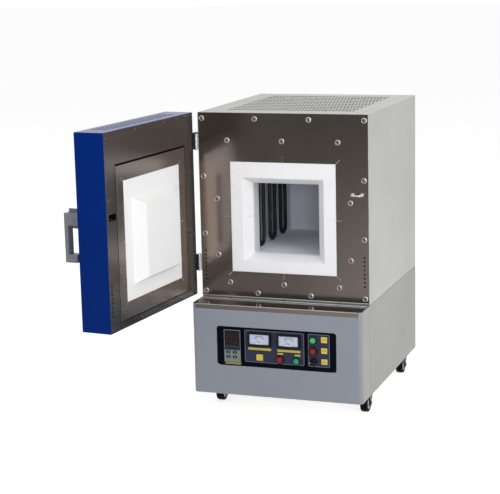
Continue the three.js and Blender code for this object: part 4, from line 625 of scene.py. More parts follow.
class Plane(Enum):
    """Which way a flat shape faces, as the directions of its width, height and thickness."""

    FRONT = ((1, 0, 0), (0, 0, 1), (0, -1, 0))
    TOP = ((1, 0, 0), (0, 1, 0), (0, 0, 1))

    def at(self, level: float) -> Matrix:
        """Matrix from the flat shape to the cabinet.

        Args:
            level: Where the middle of its thickness lies on the axis that it faces along.

        Returns:
            The matrix.
        """
        columns = [Vector(v) for v in self.value]
        turn = Matrix([[columns[j][i] for j in range(3)] for i in range(3)]).to_4x4()
        towards = Vector([abs(v) for v in self.value[2]])
        return Matrix.Translation(towards * level) @ turn


def rectangle(x0: float, x1: float, y0: float, y1: float, radius: float = 0.0, steps: int = 5) -> list[Point]:
    """Corner points of a rectangle, anticlockwise.

    Args:
        x0: Left.
        x1: Right.
        y0: Bottom.
        y1: Top.
        radius: Rounding of its corners.
        steps: Segments of each corner.

    Returns:
        The points.
    """
    if radius <= 0:
        return [(x0, y0), (x1, y0), (x1, y1), (x0, y1)]
    middles = [(x1 - radius, y0 + radius, -90), (x1 - radius, y1 - radius, 0),
               (x0 + radius, y1 - radius, 90), (x0 + radius, y0 + radius, 180)]
    return [(cx + radius * math.cos(math.radians(start + 90 * i / steps)),
             cy + radius * math.sin(math.radians(start + 90 * i / steps)))
            for cx, cy, start in middles for i in range(steps + 1)]


def circle(x: float, y: float, radius: float, steps: int = 20, start: float = 0.0,
           sweep: float = 360.0) -> list[Point]:
    """Points of a circle or an arc, anticlockwise.

    Args:
        x: Centre.
        y: Centre.
        radius: Radius.
        steps: Segments.
        start: First angle in degrees.
        sweep: Turn in degrees. A full turn leaves out the last point.

    Returns:
        The points.
    """
    count = steps if sweep >= 360 else steps + 1
    angles = [math.radians(start + sweep * i / steps) for i in range(count)]
    return [(x + radius * math.cos(a), y + radius * math.sin(a)) for a in angles]


def slit_opening(x0: float, x1: float, y0: float, y1: float, length: float, width: float) -> list[Point]:
    """Rectangular opening with a relief slit out of each corner and the middle of each side.

    Args:
        x0: Left.
        x1: Right.
        y0: Bottom.
        y1: Top.
        length: How far a slit runs.
        width: A slit's width.

    Returns:
        The points, anticlockwise.
    """
    half, off, reach = width / 2, width / math.sqrt(2), length / math.sqrt(2)
    points: list[Point] = []
    for sx, sy in ((-1, -1), (1, -1), (1, 1), (-1, 1)):
        cx, cy = x1 if sx > 0 else x0, y1 if sy > 0 else y0
        corner = [(cx, cy - sy * off), (cx + sx * reach, cy + sy * (reach - off)),
                  (cx + sx * (reach - off), cy + sy * reach), (cx - sx * off, cy)]
        points += corner if sx == sy else corner[::-1]
        nx, ny = (sx - sy) // 2, (sx + sy) // 2
        mx, my = cx if nx else (x0 + x1) / 2, cy if ny else (y0 + y1) / 2
        points += [(mx - ny * along + nx * out, my + nx * along + ny * out)
                   for along, out in ((-half, 0), (-half, length), (half, length), (half, 0))]
    return points


def ring_of(inner: float, outer: float, low: float, high: float) -> list[Point]:
    """Closed profile of a plain ring, for the lathe, from its inner to its outer radius."""
    return [(inner, low), (outer, low), (outer, high), (inner, high), (inner, low)]


def mirrored(profile: Sequence[Point]) -> list[Point]:
    """Closed profile from the side below zero, given from the inside out, and its mirror image."""
    return [*profile, *[(radius, -along) for radius, along in reversed(profile)], profile[0]]


def object_of(data: bpy.types.ID, name: str = "part") -> bpy.types.Object:
    """Puts a mesh, curve, lamp or camera in the scene.

    Args:
        data: What the object shows.
        name: The object's name.

    Returns:
        The object.
    """
    made = bpy.data.objects.new(name, data)
    bpy.context.scene.collection.objects.link(made)
    return made


def mesh_of(builder: bmesh.types.BMesh, smooth: float = 30.0) -> bpy.types.Mesh:
    """Ends a bmesh.

    Args:
        builder: The bmesh, which is freed.
        smooth: Edges sharper than this many degrees stay sharp.

    Returns:
        The mesh.
    """
    mesh = bpy.data.meshes.new("part")
    builder.to_mesh(mesh)
    builder.free()
    mesh.shade_smooth()
    mesh.set_sharp_from_angle(angle=math.radians(smooth))
    return mesh


def baked(item: bpy.types.Object) -> bpy.types.Object:
    """Replaces an object and its modifiers by a plain mesh object.

    Args:
        item: A curve, text or mesh object.

    Returns:
        The plain one.
    """
    bpy.context.view_layer.update()
    graph = bpy.context.evaluated_depsgraph_get()
    mesh = bpy.data.meshes.new_from_object(item.evaluated_get(graph), depsgraph=graph)
    made = object_of(mesh)
    made.matrix_world = item.matrix_world.copy()
    bpy.data.objects.remove(item)
    return made


def evened(item: bpy.types.Object) -> bpy.types.Object:
    """Lets large faces outweigh the small roundings beside them in the shading.

    Args:
        item: The mesh object, which is replaced.

    Returns:
        The new one.
    """
    even = item.modifiers.new("even", "WEIGHTED_NORMAL")
    even.mode, even.weight, even.keep_sharp = "FACE_AREA", 50, True
    return baked(item)


def joined(parts: Sequence[bpy.types.Object]) -> bpy.types.Object:
    """Merges mesh objects of one frame into the first.

    Args:
        parts: The objects. All but the first are removed.

    Returns:
        The first object.
    """
    builder = bmesh.new()
    for part in parts:
        held = part.data.copy()
        held.transform(part.matrix_world)
        builder.from_mesh(held)
        bpy.data.meshes.remove(held)
    for part in parts[1:]:
        bpy.data.objects.remove(part)
    parts[0].matrix_world = Matrix.Identity(4)
    parts[0].data = mesh_of(builder)
    return parts[0]


def add_line(curve: bpy.types.Curve, points: Sequence[Sequence[float]], closed: bool) -> None:
    """Adds straight segments through points of two or three coordinates to a curve.

    Args:
        curve: The curve.
        points: The points.
        closed: Whether the last joins the first.
    """
    spline = curve.splines.new("POLY")
    spline.points.add(len(points) - 1)
    spline.points.foreach_set("co", [c for p in points for c in (*p, *(0,) * (3 - len(p)), 1)])
    spline.use_cyclic_u = closed


SHARP_TURN = math.radians(35.0)
SAME_PLACE = 1e-4


def plate(outline: Sequence[Point], thickness: float, level: float, edge: float = 0.25,
          holes: Iterable[Sequence[Point]] = (), plane: Plane = Plane.FRONT) -> bpy.types.Object:
    """A flat sheet with holes and softened edges.

    Args:
        outline: Its outer line, anticlockwise.
        thickness: Sheet thickness.
        level: Where its middle lies along the way that it faces.
        edge: Rounding of every edge.
        holes: Lines of its holes, anticlockwise.
        plane: Which way it faces.

    Returns:
        The sheet, in cabinet millimetres.
    """
    curve = bpy.data.curves.new("outline", "CURVE")
    curve.dimensions, curve.fill_mode = "2D", "BOTH"
    edge = min(edge, thickness * 0.4)
    curve.extrude, curve.bevel_depth, curve.bevel_resolution = thickness / 2 - edge, edge, 1
    curve.offset = -edge
    for line in (outline, *[list(reversed(hole)) for hole in holes]):
        add_line(curve, line, True)
    made = baked(object_of(curve))
    builder = bmesh.new()
    builder.from_mesh(made.data)
    bmesh.ops.remove_doubles(builder, verts=builder.verts, dist=SAME_PLACE)
    bmesh.ops.recalc_face_normals(builder, faces=builder.faces)
    made.data = mesh_of(builder)
    made.data.transform(plane.at(level))
    return made


def bevelled(builder: bmesh.types.BMesh, width: float, steps: int = 2) -> None:
    """Rounds the sharp edges of a closed bmesh.

    Args:
        builder: The bmesh.
        width: Rounding.
        steps: Segments across the rounding.
    """
    sharp = [e for e in builder.edges if len(e.link_faces) == 2 and e.calc_face_angle(0.0) > SHARP_TURN]
    bmesh.ops.bevel(builder, geom=sharp, offset=width, segments=steps, profile=0.6, affect="EDGES",
                    clamp_overlap=True)


def block(x0: float, x1: float, y0: float, y1: float, z0: float, z1: float, edge: float = 0.4,
          steps: int = 2) -> bpy.types.Object:
    """A block with rounded edges.

    Args:
        x0: Left.
        x1: Right.
        y0: Front.
        y1: Back.
        z0: Foot.
        z1: Top.
        edge: Rounding.
        steps: Segments of the rounding.

    Returns:
        The block.
    """
    builder = bmesh.new()
    size = Matrix.Diagonal((x1 - x0, y1 - y0, z1 - z0, 1))
    middle = Matrix.Translation(((x0 + x1) / 2, (y0 + y1) / 2, (z0 + z1) / 2))
    bmesh.ops.create_cube(builder, size=1.0, matrix=middle @ size)
    if edge > 0:
        bevelled(builder, edge, steps)
    return object_of(mesh_of(builder))


AXES = {"x": Vector((1, 0, 0)), "y": Vector((0, 1, 0)), "z": Vector((0, 0, 1))}


def stood(centre: Sequence[float], axis: str) -> Matrix:
    """Matrix that stands a body's Z along an axis through a centre."""
    turn = AXES["z"].rotation_difference(AXES[axis]).to_matrix().to_4x4()
    return Matrix.Translation(Vector(centre)) @ turn


def lathe(profile: Sequence[Point], centre: Sequence[float], axis: str, steps: int = 32,
          smooth: float = 30.0) -> bpy.types.Object:
    """A turned body.

    Args:
        profile: Points of radius and place along the axis. It starts and ends on the axis, or closes
            on itself.
        centre: Where the axis's zero lies.
        axis: "x", "y" or "z".
        steps: Segments round.
        smooth: Edges sharper than this stay sharp.

    Returns:
        The closed body.
    """
    builder = bmesh.new()
    rings: list[list[bmesh.types.BMVert]] = []
    for radius, along in profile:
        count = 1 if radius < 1e-6 else steps
        rings.append([builder.verts.new((radius * math.cos(2 * math.pi * i / steps),
                                         radius * math.sin(2 * math.pi * i / steps), along))
                      for i in range(count)])
    if profile[0] == profile[-1]:
        rings[-1] = rings[0]
    for first, second in zip(rings, rings[1:]):
        for i in range(steps):
            corners = [first[i % len(first)], first[(i + 1) % len(first)],
                       second[(i + 1) % len(second)], second[i % len(second)]]
            unique = list(dict.fromkeys(corners))
            if len(unique) > 2:
                builder.faces.new(unique)
    loose = [v for v in builder.verts if not v.link_faces]
    bmesh.ops.delete(builder, geom=loose, context="VERTS")
    bmesh.ops.recalc_face_normals(builder, faces=builder.faces)
    made = object_of(mesh_of(builder, smooth))
    made.data.transform(stood(centre, axis))
    return made


def disc(radius: float, low: float, high: float, centre: Sequence[float], axis: str, edge: float,
         steps: int) -> bpy.types.Object:
    """A turned disc or pin with rounded rims.

    Args:
        radius: Radius.
        low: Where it starts along its axis.
        high: Where it ends.
        centre: Where the axis's zero lies.
        axis: "x", "y" or "z".
        edge: Rounding of its rims.
        steps: Segments round.

    Returns:
        The disc.
    """
    rim = [(radius - edge, low), (radius - edge * 0.3, low + edge * 0.3), (radius, low + edge),
           (radius, high - edge), (radius - edge * 0.3, high - edge * 0.3), (radius - edge, high)]
    return lathe([(0, low), *rim, (0, high)], centre, axis, steps)


PRINT_HEIGHT = 0.08


def text(words: str, size: float, x: float, y: float, z: float) -> bpy.types.Object:
    """Small raised figures facing the front.

    Args:
        words: What is written.
        size: Height of the letters' line.
        x: Middle.
        y: Level of their back.
        z: Middle height.

    Returns:
        The mesh object.
    """
    curve = bpy.data.curves.new("figures", "FONT")
    curve.body, curve.size, curve.extrude = words, size, PRINT_HEIGHT / 2
    curve.align_x, curve.align_y, curve.resolution_u = "CENTER", "CENTER", 2
    made = baked(object_of(curve))
    made.data.transform(Matrix.Translation((x, y - PRINT_HEIGHT / 2, z)) @ Plane.FRONT.at(0))
    return made


def carve(item: bpy.types.Object, tool: bpy.types.Object) -> bpy.types.Object:
    """Cuts a tool out of an object.

    Args:
        item: The object.
        tool: What is cut away. It is removed.

    Returns:
        The cut object.
    """
    cut = item.modifiers.new("cut", "BOOLEAN")
    cut.operation, cut.solver, cut.object = "DIFFERENCE", "EXACT", tool
    made = baked(item)
    bpy.data.objects.remove(tool)
    return made


def simplified(builder: bmesh.types.BMesh, apart: float) -> None:
    """Merges the level faces of a bmesh, and points closer than a distance."""
    bmesh.ops.remove_doubles(builder, verts=builder.verts, dist=apart)
    bmesh.ops.dissolve_limit(builder, angle_limit=math.radians(1.0), verts=builder.verts, edges=builder.edges)


def refined(node: str, edge: float, steps: int = 2) -> bpy.types.Object:
    """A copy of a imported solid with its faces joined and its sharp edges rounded.

    Args:
        node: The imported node.
        edge: Rounding in millimetres.
        steps: Segments of the rounding.

    Returns:
        The copy, in place in the frame's metres.
    """
    builder = bmesh.new()
    builder.from_mesh(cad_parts[node].data)
    simplified(builder, 2e-6)
    if edge > 0:
        bevelled(builder, edge * MM, steps)
    return object_of(mesh_of(builder))


# Geometry Nodes for what repeats or follows a path

class Pattern(Nodes):
    """A Geometry Nodes tree under construction."""

    def __init__(self, name: str, **inputs: str) -> None:
        """Starts a tree with the geometry first and the finish last.

        Args:
            name: The tree's name.
            inputs: The inputs between them, with the kind of each.
        """
        tree = bpy.data.node_groups.new(name, "GeometryNodeTree")
        tree.interface.new_socket("Geometry", in_out="INPUT", socket_type="NodeSocketGeometry")
        tree.interface.new_socket("Geometry", in_out="OUTPUT", socket_type="NodeSocketGeometry")
        for label, kind in {**inputs, "Finish": "Material"}.items():
            tree.interface.new_socket(label, in_out="INPUT", socket_type=f"NodeSocket{kind}")
        super().__init__(tree)
        self.given = self.node("NodeGroupInput").outputs

    def value(self, label: str) -> Value:
        """One of the tree's inputs."""
        return Value(self, self.given[label])

    def copies(self, label: str, points: bpy.types.NodeSocket,
               **values: bpy.types.NodeSocket) -> bpy.types.NodeSocket:
        """Copies of one piece on the points of a geometry.

        Args:
            label: The object input that holds the piece.
            points: The geometry.
            values: The node's other inputs.

        Returns:
            The copies.
        """
        piece = self.node("GeometryNodeObjectInfo", values={0: self.given[label]}).outputs["Geometry"]
        return self.node("GeometryNodeInstanceOnPoints", values={
            "Points": points, "Instance": piece, **values}).outputs[0]

    def end(self, geometry: bpy.types.NodeSocket) -> bpy.types.NodeTree:
        """Ends the tree with real geometry that carries the finish.

        Args:
            geometry: What was made.

        Returns:
            The tree.
        """
        real = self.node("GeometryNodeRealizeInstances", values={0: geometry})
        dressed = self.node("GeometryNodeSetMaterial", values={
            0: real.outputs[0], "Material": self.given["Finish"]})
        self.node("NodeGroupOutput", values={0: dressed.outputs[0]})
        return self.tree


FULL_TURN = 6.283


def scatter_pattern() -> bpy.types.NodeTree:
    """Copies of one piece on every point of a mesh, each turned by a seeded angle.

    Returns:
        The node group.
    """
    made = Pattern("fasteners", Piece="Object", Turn="Vector", Seed="Int")
    angle = made.node("FunctionNodeRandomValue", {"data_type": "FLOAT"},
                      {2: 0.0, 3: FULL_TURN, "Seed": made.given["Seed"]})
    turn = made.node("ShaderNodeVectorMath", {"operation": "SCALE"},
                     {0: made.given["Turn"], "Scale": angle.outputs[1]})
    return made.end(made.copies("Piece", made.given["Geometry"], Rotation=turn.outputs[0]))


def perforation_pattern() -> bpy.types.NodeTree:
    """A field of sheet cells in straight rows, each with one slot.

    Returns:
        The node group.
    """
    made = Pattern("perforation", Cell="Object", Columns="Int", Rows="Int", Across="Float", Along="Float")
    grid = made.node("GeometryNodeMeshGrid", values={
        "Size X": (made.value("Columns") - 1.0) * made.value("Across"),
        "Size Y": (made.value("Rows") - 1.0) * made.value("Along"),
        "Vertices X": made.given["Columns"], "Vertices Y": made.given["Rows"]})
    real = made.node("GeometryNodeRealizeInstances", values={0: made.copies("Cell", grid.outputs[0])})
    welded = made.node("GeometryNodeMergeByDistance", values={0: real.outputs[0], "Distance": 0.005})
    return made.end(welded.outputs[0])


def rod_pattern() -> bpy.types.NodeTree:
    """A round rod along a curve, with closed ends.

    Returns:
        The node group.
    """
    made = Pattern("swept_rod", Radius="Float", Sides="Int")
    ring = made.node("GeometryNodeCurvePrimitiveCircle", {"mode": "RADIUS"},
                     {"Resolution": made.given["Sides"], "Radius": made.given["Radius"]})
    swept = made.node("GeometryNodeCurveToMesh", values={
        0: made.given["Geometry"], 1: ring.outputs[0], "Fill Caps": True})
    smooth = made.node("GeometryNodeSetShadeSmooth", values={0: swept.outputs[0]})
    return made.end(smooth.outputs[0])


def scale_pattern() -> bpy.types.NodeTree:
    """Tick marks of a dial along an arc, every fifth one longer.

    Returns:
        The node group.
    """
    made = Pattern("dial_ticks", Mark="Object", Count="Int", Radius="Float", Start="Float", Sweep="Float")
    line = made.node("GeometryNodeMeshLine", values={"Count": made.given["Count"]})
    order = Value(made, made.node("GeometryNodeInputIndex").outputs[0])
    angle = made.value("Start") + order / (made.value("Count") - 1.0) * made.value("Sweep")
    spot = made.node("ShaderNodeCombineXYZ", values={
        "X": made.maths("SINE", angle) * made.value("Radius"),
        "Z": made.maths("COSINE", angle) * made.value("Radius")})
    moved = made.node("GeometryNodeSetPosition", values={0: line.outputs[0], "Position": spot.outputs[0]})
    long = made.maths("LESS_THAN", order % 5.0, 0.5)
    size = made.node("ShaderNodeCombineXYZ", values={"X": 1.0 + long * 0.4, "Y": 1.0, "Z": 1.0 + long * 0.7})
    turn = made.node("ShaderNodeCombineXYZ", values={"Y": angle})
    return made.end(made.copies("Mark", moved.outputs[0], Rotation=turn.outputs[0], Scale=size.outputs[0]))


class Patterns:
    """The trees, each made once."""

    def __init__(self) -> None:
        """Builds them."""
        self.scatter = scatter_pattern()
        self.perforation = perforation_pattern()
        self.rod = rod_pattern()
        self.scale = scale_pattern()

    @staticmethod
    def run(tree: bpy.types.NodeTree, item: bpy.types.Object, inputs: dict) -> bpy.types.Object:
        """Applies a tree to an object.

        Args:
            tree: The tree.
            item: The object that it starts from.
            inputs: Values of the tree's named inputs.

        Returns:
            A plain mesh object.
        """
        modifier = item.modifiers.new("pattern", "NODES")
        modifier.node_group = tree
        for socket in tree.interface.items_tree:
            if socket.item_type == "SOCKET" and socket.in_out == "INPUT" and socket.name in inputs:
                modifier[socket.identifier] = inputs[socket.name]
        return baked(item)


# The workshop hands finished pieces to the frame

@dataclass
class Workshop:
    """Places finished pieces in the frame and reports them."""

    patterns: Patterns = field(default_factory=Patterns)
    count: int = 0

    def deliver(self, name: str, item: bpy.types.Object, finish: Finish, body: str, matrix: Matrix | None,
                slot: str, stands_for: Sequence[str] = ()) -> None:
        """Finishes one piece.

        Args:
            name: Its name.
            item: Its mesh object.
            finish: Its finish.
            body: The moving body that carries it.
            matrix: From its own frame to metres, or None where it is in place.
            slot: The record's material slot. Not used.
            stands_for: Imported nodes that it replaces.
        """
        if matrix is not None:
            item.data.transform(matrix)
        item.matrix_world = Matrix.Identity(4)
        item = evened(item)
        item.name = item.data.name = name
        item.data.materials.clear()
        item.data.materials.append(finish.material)
        for polygon in item.data.polygons:
            polygon.material_index = 0
        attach(item, body)
        if stands_for:
            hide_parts(*stands_for)
        self.count += 1
        LOG.info("%s: %d faces on %s", name, len(item.data.polygons), body)

    def scatter(self, name: str, piece: bpy.types.Object, points: Sequence[Sequence[float]], axis: str,
                seed: int, slot: str, body: str, matrix: Matrix, finish: Finish = Finish.SCREW) -> None:
        """Copies of one fastener at several places.

        Args:
            name: Name of the result.
            piece: The fastener round the zero point. It is removed.
            points: The places.
            axis: The axis that each copy is turned about.
            seed: Seed of the turning angles.
            slot: The record's material slot.
            body: The body that carries them.
            matrix: From the points' frame to metres.
            finish: Their finish.
        """
        mesh = bpy.data.meshes.new("places")
        mesh.from_pydata([tuple(p) for p in points], [], [])
        inputs = {"Piece": piece, "Turn": tuple(AXES[axis]), "Seed": seed, "Finish": finish.material}
        item = Patterns.run(self.patterns.scatter, object_of(mesh), inputs)
        bpy.data.objects.remove(piece)
        item.data.shade_smooth()
        item.data.set_sharp_from_angle(angle=math.radians(30))
        self.deliver(name, item, finish, body, matrix, slot)

    def rod(self, points: Sequence[Sequence[float]], radius: float, finish: Finish,
            sides: int = 16) -> bpy.types.Object:
        """A rod through a row of points.

        Args:
            points: The points, in cabinet millimetres.
            radius: The rod's radius.
            finish: Its finish.
            sides: Segments round.

        Returns:
            The rod.
        """
        curve = bpy.data.curves.new("path", "CURVE")
        curve.dimensions = "3D"
        add_line(curve, points, False)
        made = Patterns.run(self.patterns.rod, object_of(curve),
                            {"Radius": radius, "Sides": sides, "Finish": finish.material})
        made.data.set_sharp_from_angle(angle=math.radians(40))
        return made

    def perforated(self, columns: int, rows: int, pitch: Point, hole: Point, thickness: float,
                   finish: Finish) -> bpy.types.Object:
        """A field of round-ended slots in straight rows.

        Args:
            columns: Slots in a row.
            rows: Rows.
            pitch: Distances between slots and between rows.
            hole: Half the width and half the length of a slot.
            thickness: Sheet thickness.
            finish: Its finish.

        Returns:
            The sheet, centred on zero with its top at zero height.
        """
        spokes = [Vector((math.cos(math.radians(a)), math.sin(math.radians(a)))) for a in range(15, 375, 30)]
        reach = [max(abs(spoke.x), abs(spoke.y)) * 2 for spoke in spokes]
        border = [(spoke.x * pitch[0] / far, spoke.y * pitch[1] / far) for spoke, far in zip(spokes, reach)]
        slot = [(spoke.x * hole[0], spoke.y * hole[0] + math.copysign(hole[1] - hole[0], spoke.y))
                for spoke in spokes]
        builder = bmesh.new()
        (upper, upper_slot), (lower, lower_slot) = (
            [[builder.verts.new((x, y, level)) for x, y in line] for line in (border, slot)]
            for level in (0.0, -thickness))
        turns = [(i, (i + 1) % len(spokes)) for i in range(len(spokes))]
        for i, j in turns:
            builder.faces.new([upper[i], upper[j], upper_slot[j], upper_slot[i]])
        for i, j in turns:
            builder.faces.new([lower_slot[i], lower_slot[j], lower[j], lower[i]])
        for i, j in turns:
            builder.faces.new([upper_slot[i], upper_slot[j], lower_slot[j], lower_slot[i]])
        cell = object_of(mesh_of(builder))
        sheet = Patterns.run(self.patterns.perforation, object_of(bpy.data.meshes.new("seed")), {
            "Cell": cell, "Columns": columns, "Rows": rows, "Across": pitch[0], "Along": pitch[1],
            "Finish": finish.material})
        bpy.data.objects.remove(cell)
        return sheet


@dataclass
class Assembly:
    """A sub-assembly, whose pieces ride one body unless a call names another."""

    shop: Workshop
    body: ClassVar[str] = "furnace_body"
    matrix: ClassVar[Matrix] = CABINET

    def piece(self, name: str, item: bpy.types.Object, finish: Finish, slot: str, node: str | None = None,
              body: str | None = None) -> None:
        """Hands over a piece drawn in millimetres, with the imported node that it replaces, if any."""
        self.shop.deliver(name, item, finish, body or self.body, self.matrix, slot, (node,) if node else ())

    def refine(self, node: str, finish: Finish, slot: str, edge: float = 0.5, steps: int = 2,
               body: str | None = None) -> None:
        """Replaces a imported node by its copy, rounded by edge in so many steps."""
        self.shop.deliver(f"{node}_finished", refined(node, edge, steps), finish, body or self.body, None,
                          slot, (node,))

    def screws(self, name: str, piece: bpy.types.Object, points: Sequence[Sequence[float]], axis: str,
               seed: int, slot: str = "zinc", finish: Finish = Finish.SCREW) -> None:
        """Copies of one fastener, in the assembly's own frame. The workshop's scatter explains the rest."""
        self.shop.scatter(name, piece, points, axis, seed, slot, self.body, self.matrix, finish)


def dress(node: str, finish: Finish) -> None:
    """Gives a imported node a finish.

    Args:
        node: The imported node.
        finish: The finish.
    """
    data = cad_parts[node].data
    data.materials.clear()
    data.materials.append(finish.material)


def screw_head(radius: float, height: float, axis: str = "y", sign: float = -1.0, socket: float = 0.36,
               steps: int = 20) -> bpy.types.Object:
    """A domed head on a thin flange, with a deep drive recess.

    Args:
        radius: Head radius.
        height: Head height.
        axis: The axis that it stands along.
        sign: Which way along that axis.
        socket: Radius of the recess as a share of the head's.
        steps: Segments round.

    Returns:
        The head, with its seat at zero.
    """
    hole = radius * socket
    dome = ((1, 0), (1, 0.2), (0.94, 0.3), (0.82, 0.34), (0.78, 0.6), (0.66, 0.88), (0.54, 1))
    profile = [(0, 0), *[(radius * across, height * along) for across, along in dome],
               (hole, height * 0.96), (hole * 0.92, height * 0.12), (0, height * 0.06)]
    return lathe([(r, a * sign) for r, a in profile], (0, 0, 0), axis, steps, 40)


def hex_nut(across: float, height: float, bore: float, centre: Sequence[float],
            axis: str) -> bpy.types.Object:
    """A hexagonal nut with chamfered corners and a washer face.

    Args:
        across: Width across flats.
        height: Height.
        bore: Radius of the washer's hole.
        centre: The nut's middle.
        axis: "x", "y" or "z".

    Returns:
        The nut.
    """
    builder = bmesh.new()
    radius = across / math.sqrt(3)
    bmesh.ops.create_cone(builder, cap_ends=True, segments=6, radius1=radius, radius2=radius, depth=height)
    bevelled(builder, height * 0.12, 1)
    made = object_of(mesh_of(builder))
    made.data.transform(stood(centre, axis))
    washer = lathe(ring_of(bore, radius * 1.1, -height * 0.62, -height * 0.44), centre, axis, 24)
    return joined([made, washer])


def vent_columns(radius: float) -> list[list[Point]]:
    """Outlines of the vent holes on both sides, eight in a column."""
    return [circle(side * VENT_X, VENT_FOOT + i * VENT_PITCH, radius, 14) for side in SIDES
            for i in range(8)]


def vent_shades(reach: float, front: float, back: float) -> bpy.types.Object:
    """Dark strips behind both columns of vents, so far to each side and from front to back."""
    return joined([block(x - reach, x + reach, front, back, 38, 132, 0) for x in (-VENT_X, VENT_X)])


# Sub-assemblies

@dataclass
class UpperCabinet(Assembly):
    """Casing, perforated top, front plate with its screws, and the keeper."""

    half_width: float = 238.2
    sheet: float = 1.5
    slots_across: int = 38
    slot_rows: int = 10
    slot_pitch: Point = (9.54, 40.9)
    slot_half: Point = (2.8, 13.5)
    field_middle: float = 266.5
    perforated: float = 0.4
    plate_foot: float = -5.7
    plate_thickness: float = 2.0
    shade_sheet_drop: float = 7.0
    screw_radius: float = 7.3
    keeper_x: float = 208.7
    keeper_height: float = 294.0
    keeper_half: float = 12.7
    keeper_reach: float = 19.0
    keeper_bend: float = 4.0
    keeper_radius: float = 2.5

    def build(self) -> None:
        """Makes every piece."""
        self.casing()
        self.top_grille()
        self.front_sheet()
        self.front_screws()
        self.keeper()

    def casing(self) -> None:
        """Side and rear panels with their screws."""
        for node in ("side_panel_right", "side_panel_left", "rear_panel"):
            self.refine(node, Finish.SIDE_PAINT, "warm_grey_paint")
        places = [(x, CABINET_DEPTH, z) for x in (-226, -76, 76, 226) for z in (8, 492)]
        places += [(x, CABINET_DEPTH, z) for x in (-226, 226) for z in (130, 250, 370)]
        self.screws("rear_screws", screw_head(5.0, 2.4, "y", 1.0), places, "y", 3)
        places = [(x, y, CABINET_TOP - self.sheet) for x, y in self.top_screw_places()]
        self.screws("top_screws", screw_head(4.4, 1.5, "z", 1.0), places, "z", 4)

    def top_screw_places(self) -> list[Point]:
        """Where the top panel is screwed down."""
        return [(x, y) for x in (-198, 198) for y in (39.5, 283, 500)]

    def top_grille(self) -> None:
        """Top panel, a perforated field in a plain border, and a dark sheet under it that is painted shade
        seen through the slots.
        """
        sheet = self.shop.perforated(self.slots_across, self.slot_rows, self.slot_pitch, self.slot_half,
                                     self.perforated, Finish.SIDE_PAINT)
        half, length = self.slots_across * self.slot_pitch[0] / 2, self.slot_rows * self.slot_pitch[1] / 2
        sheet.data.transform(Matrix.Translation((0, self.field_middle, CABINET_TOP)))
        openings = [rectangle(-half, half, self.field_middle - length, self.field_middle + length)]
        openings += [circle(x, y, 4.9, 20) for x, y in self.top_screw_places()]
        border = plate(rectangle(-213.5, 213.5, 2.3, CABINET_DEPTH), self.sheet,
                       CABINET_TOP - self.sheet / 2, 0.05, openings, Plane.TOP)
        self.piece("top_grille", joined([border, sheet]), Finish.SIDE_PAINT, "warm_grey_paint",
                   "top_vent_panel")
        # Painted shade: a dark sheet under the grille.
        shade_sheet = block(-212, 212, 6, 518, CABINET_TOP - self.shade_sheet_drop - 1,
                      CABINET_TOP - self.shade_sheet_drop, 0.2)
        self.piece("top_liner", shade_sheet, Finish.LINER, "black_steel")

    def front_sheet(self) -> None:
        """Brushed front plate with its relief slits, and the white packing seen through them."""
        holes = [slit_opening(-149.3, 149.3, 69.7, 374.3, 17, 1.3), *vent_columns(2.6),
                 *[circle(self.keeper_x + side * self.keeper_half, self.keeper_height, 2.8, 12)
                   for side in SIDES],
                 circle(-166.5, 222.6, 1.5, 10)]
        outline = rectangle(-self.half_width, self.half_width, self.plate_foot, CABINET_TOP)
        sheet = plate(outline, self.plate_thickness, self.plate_thickness / 2, 0.3, holes)
        self.piece("front_sheet", sheet, Finish.PLATE, "stainless", "front_plate")
        packing = [block(side * 158.2 - 8, side * 158.2 + 8, 0.9, 1.9, 220.2, 223.8, 0.1) for side in SIDES]
        self.piece("slit_packing", joined(packing), Finish.FILLER, "ceramic_fibre")
        self.piece("vent_shade", vent_shades(5, 2.05, 2.25), Finish.HOLLOW, "black_panel")

    def front_screws(self) -> None:
        """Two rings of domed screws."""
        places = [(x, 0, z) for x in (-228, -76, 76, 228) for z in (491, 12)]
        places += [(side * x, 0, z) for side in SIDES
                   for x, z in ((VENT_X, 332), (VENT_X, 173), (189, 271), (189, 115))]
        places += [(x, 0, z) for x in (-156, 0, 156) for z in (432, 39)]
        outer, inner = self.screw_radius, self.screw_radius * 0.72
        head = screw_head(outer * 0.7, 2.9, socket=0.46, steps=28)
        self.screws("front_screws", head, places, "y", 11, "stainless")
        # The washers are real; their pale, rough finish also paints the bright ring round each head.
        ring = lathe([(inner, 0), (outer, 0), (outer, -0.5), (outer - 0.7, -1.3), (outer - 1.3, -1.5),
                      (inner, -0.9), (inner, 0)], (0, 0, 0), "y", 32)
        self.screws("front_washers", ring, places, "y", 12, "stainless", Finish.RING)

    def keeper(self) -> None:
        """Bent rod with a nut and a washer on each leg."""
        x, z, half, bend = self.keeper_x, self.keeper_height, self.keeper_half, self.keeper_bend
        angles = [math.pi / 2 * (1 - i / 5) for i in range(6)]
        left = [(x - half + bend * (1 - math.sin(a)), -self.keeper_reach + bend * (1 - math.cos(a)), z)
                for a in angles]
        right = [(2 * x - along, y, z) for along, y, _ in reversed(left)]
        path = [(x - half, 8, z), *left, *right, (x + half, 8, z)]
        rod = self.shop.rod(path, self.keeper_radius, Finish.RING)
        nuts = [hex_nut(8.0, 2.6, 2.7, (x + side * half, -1.8, z), "y") for side in SIDES]
        self.piece("keeper_staple", joined([rod, *nuts]), Finish.RING, "zinc", "latch_keeper")


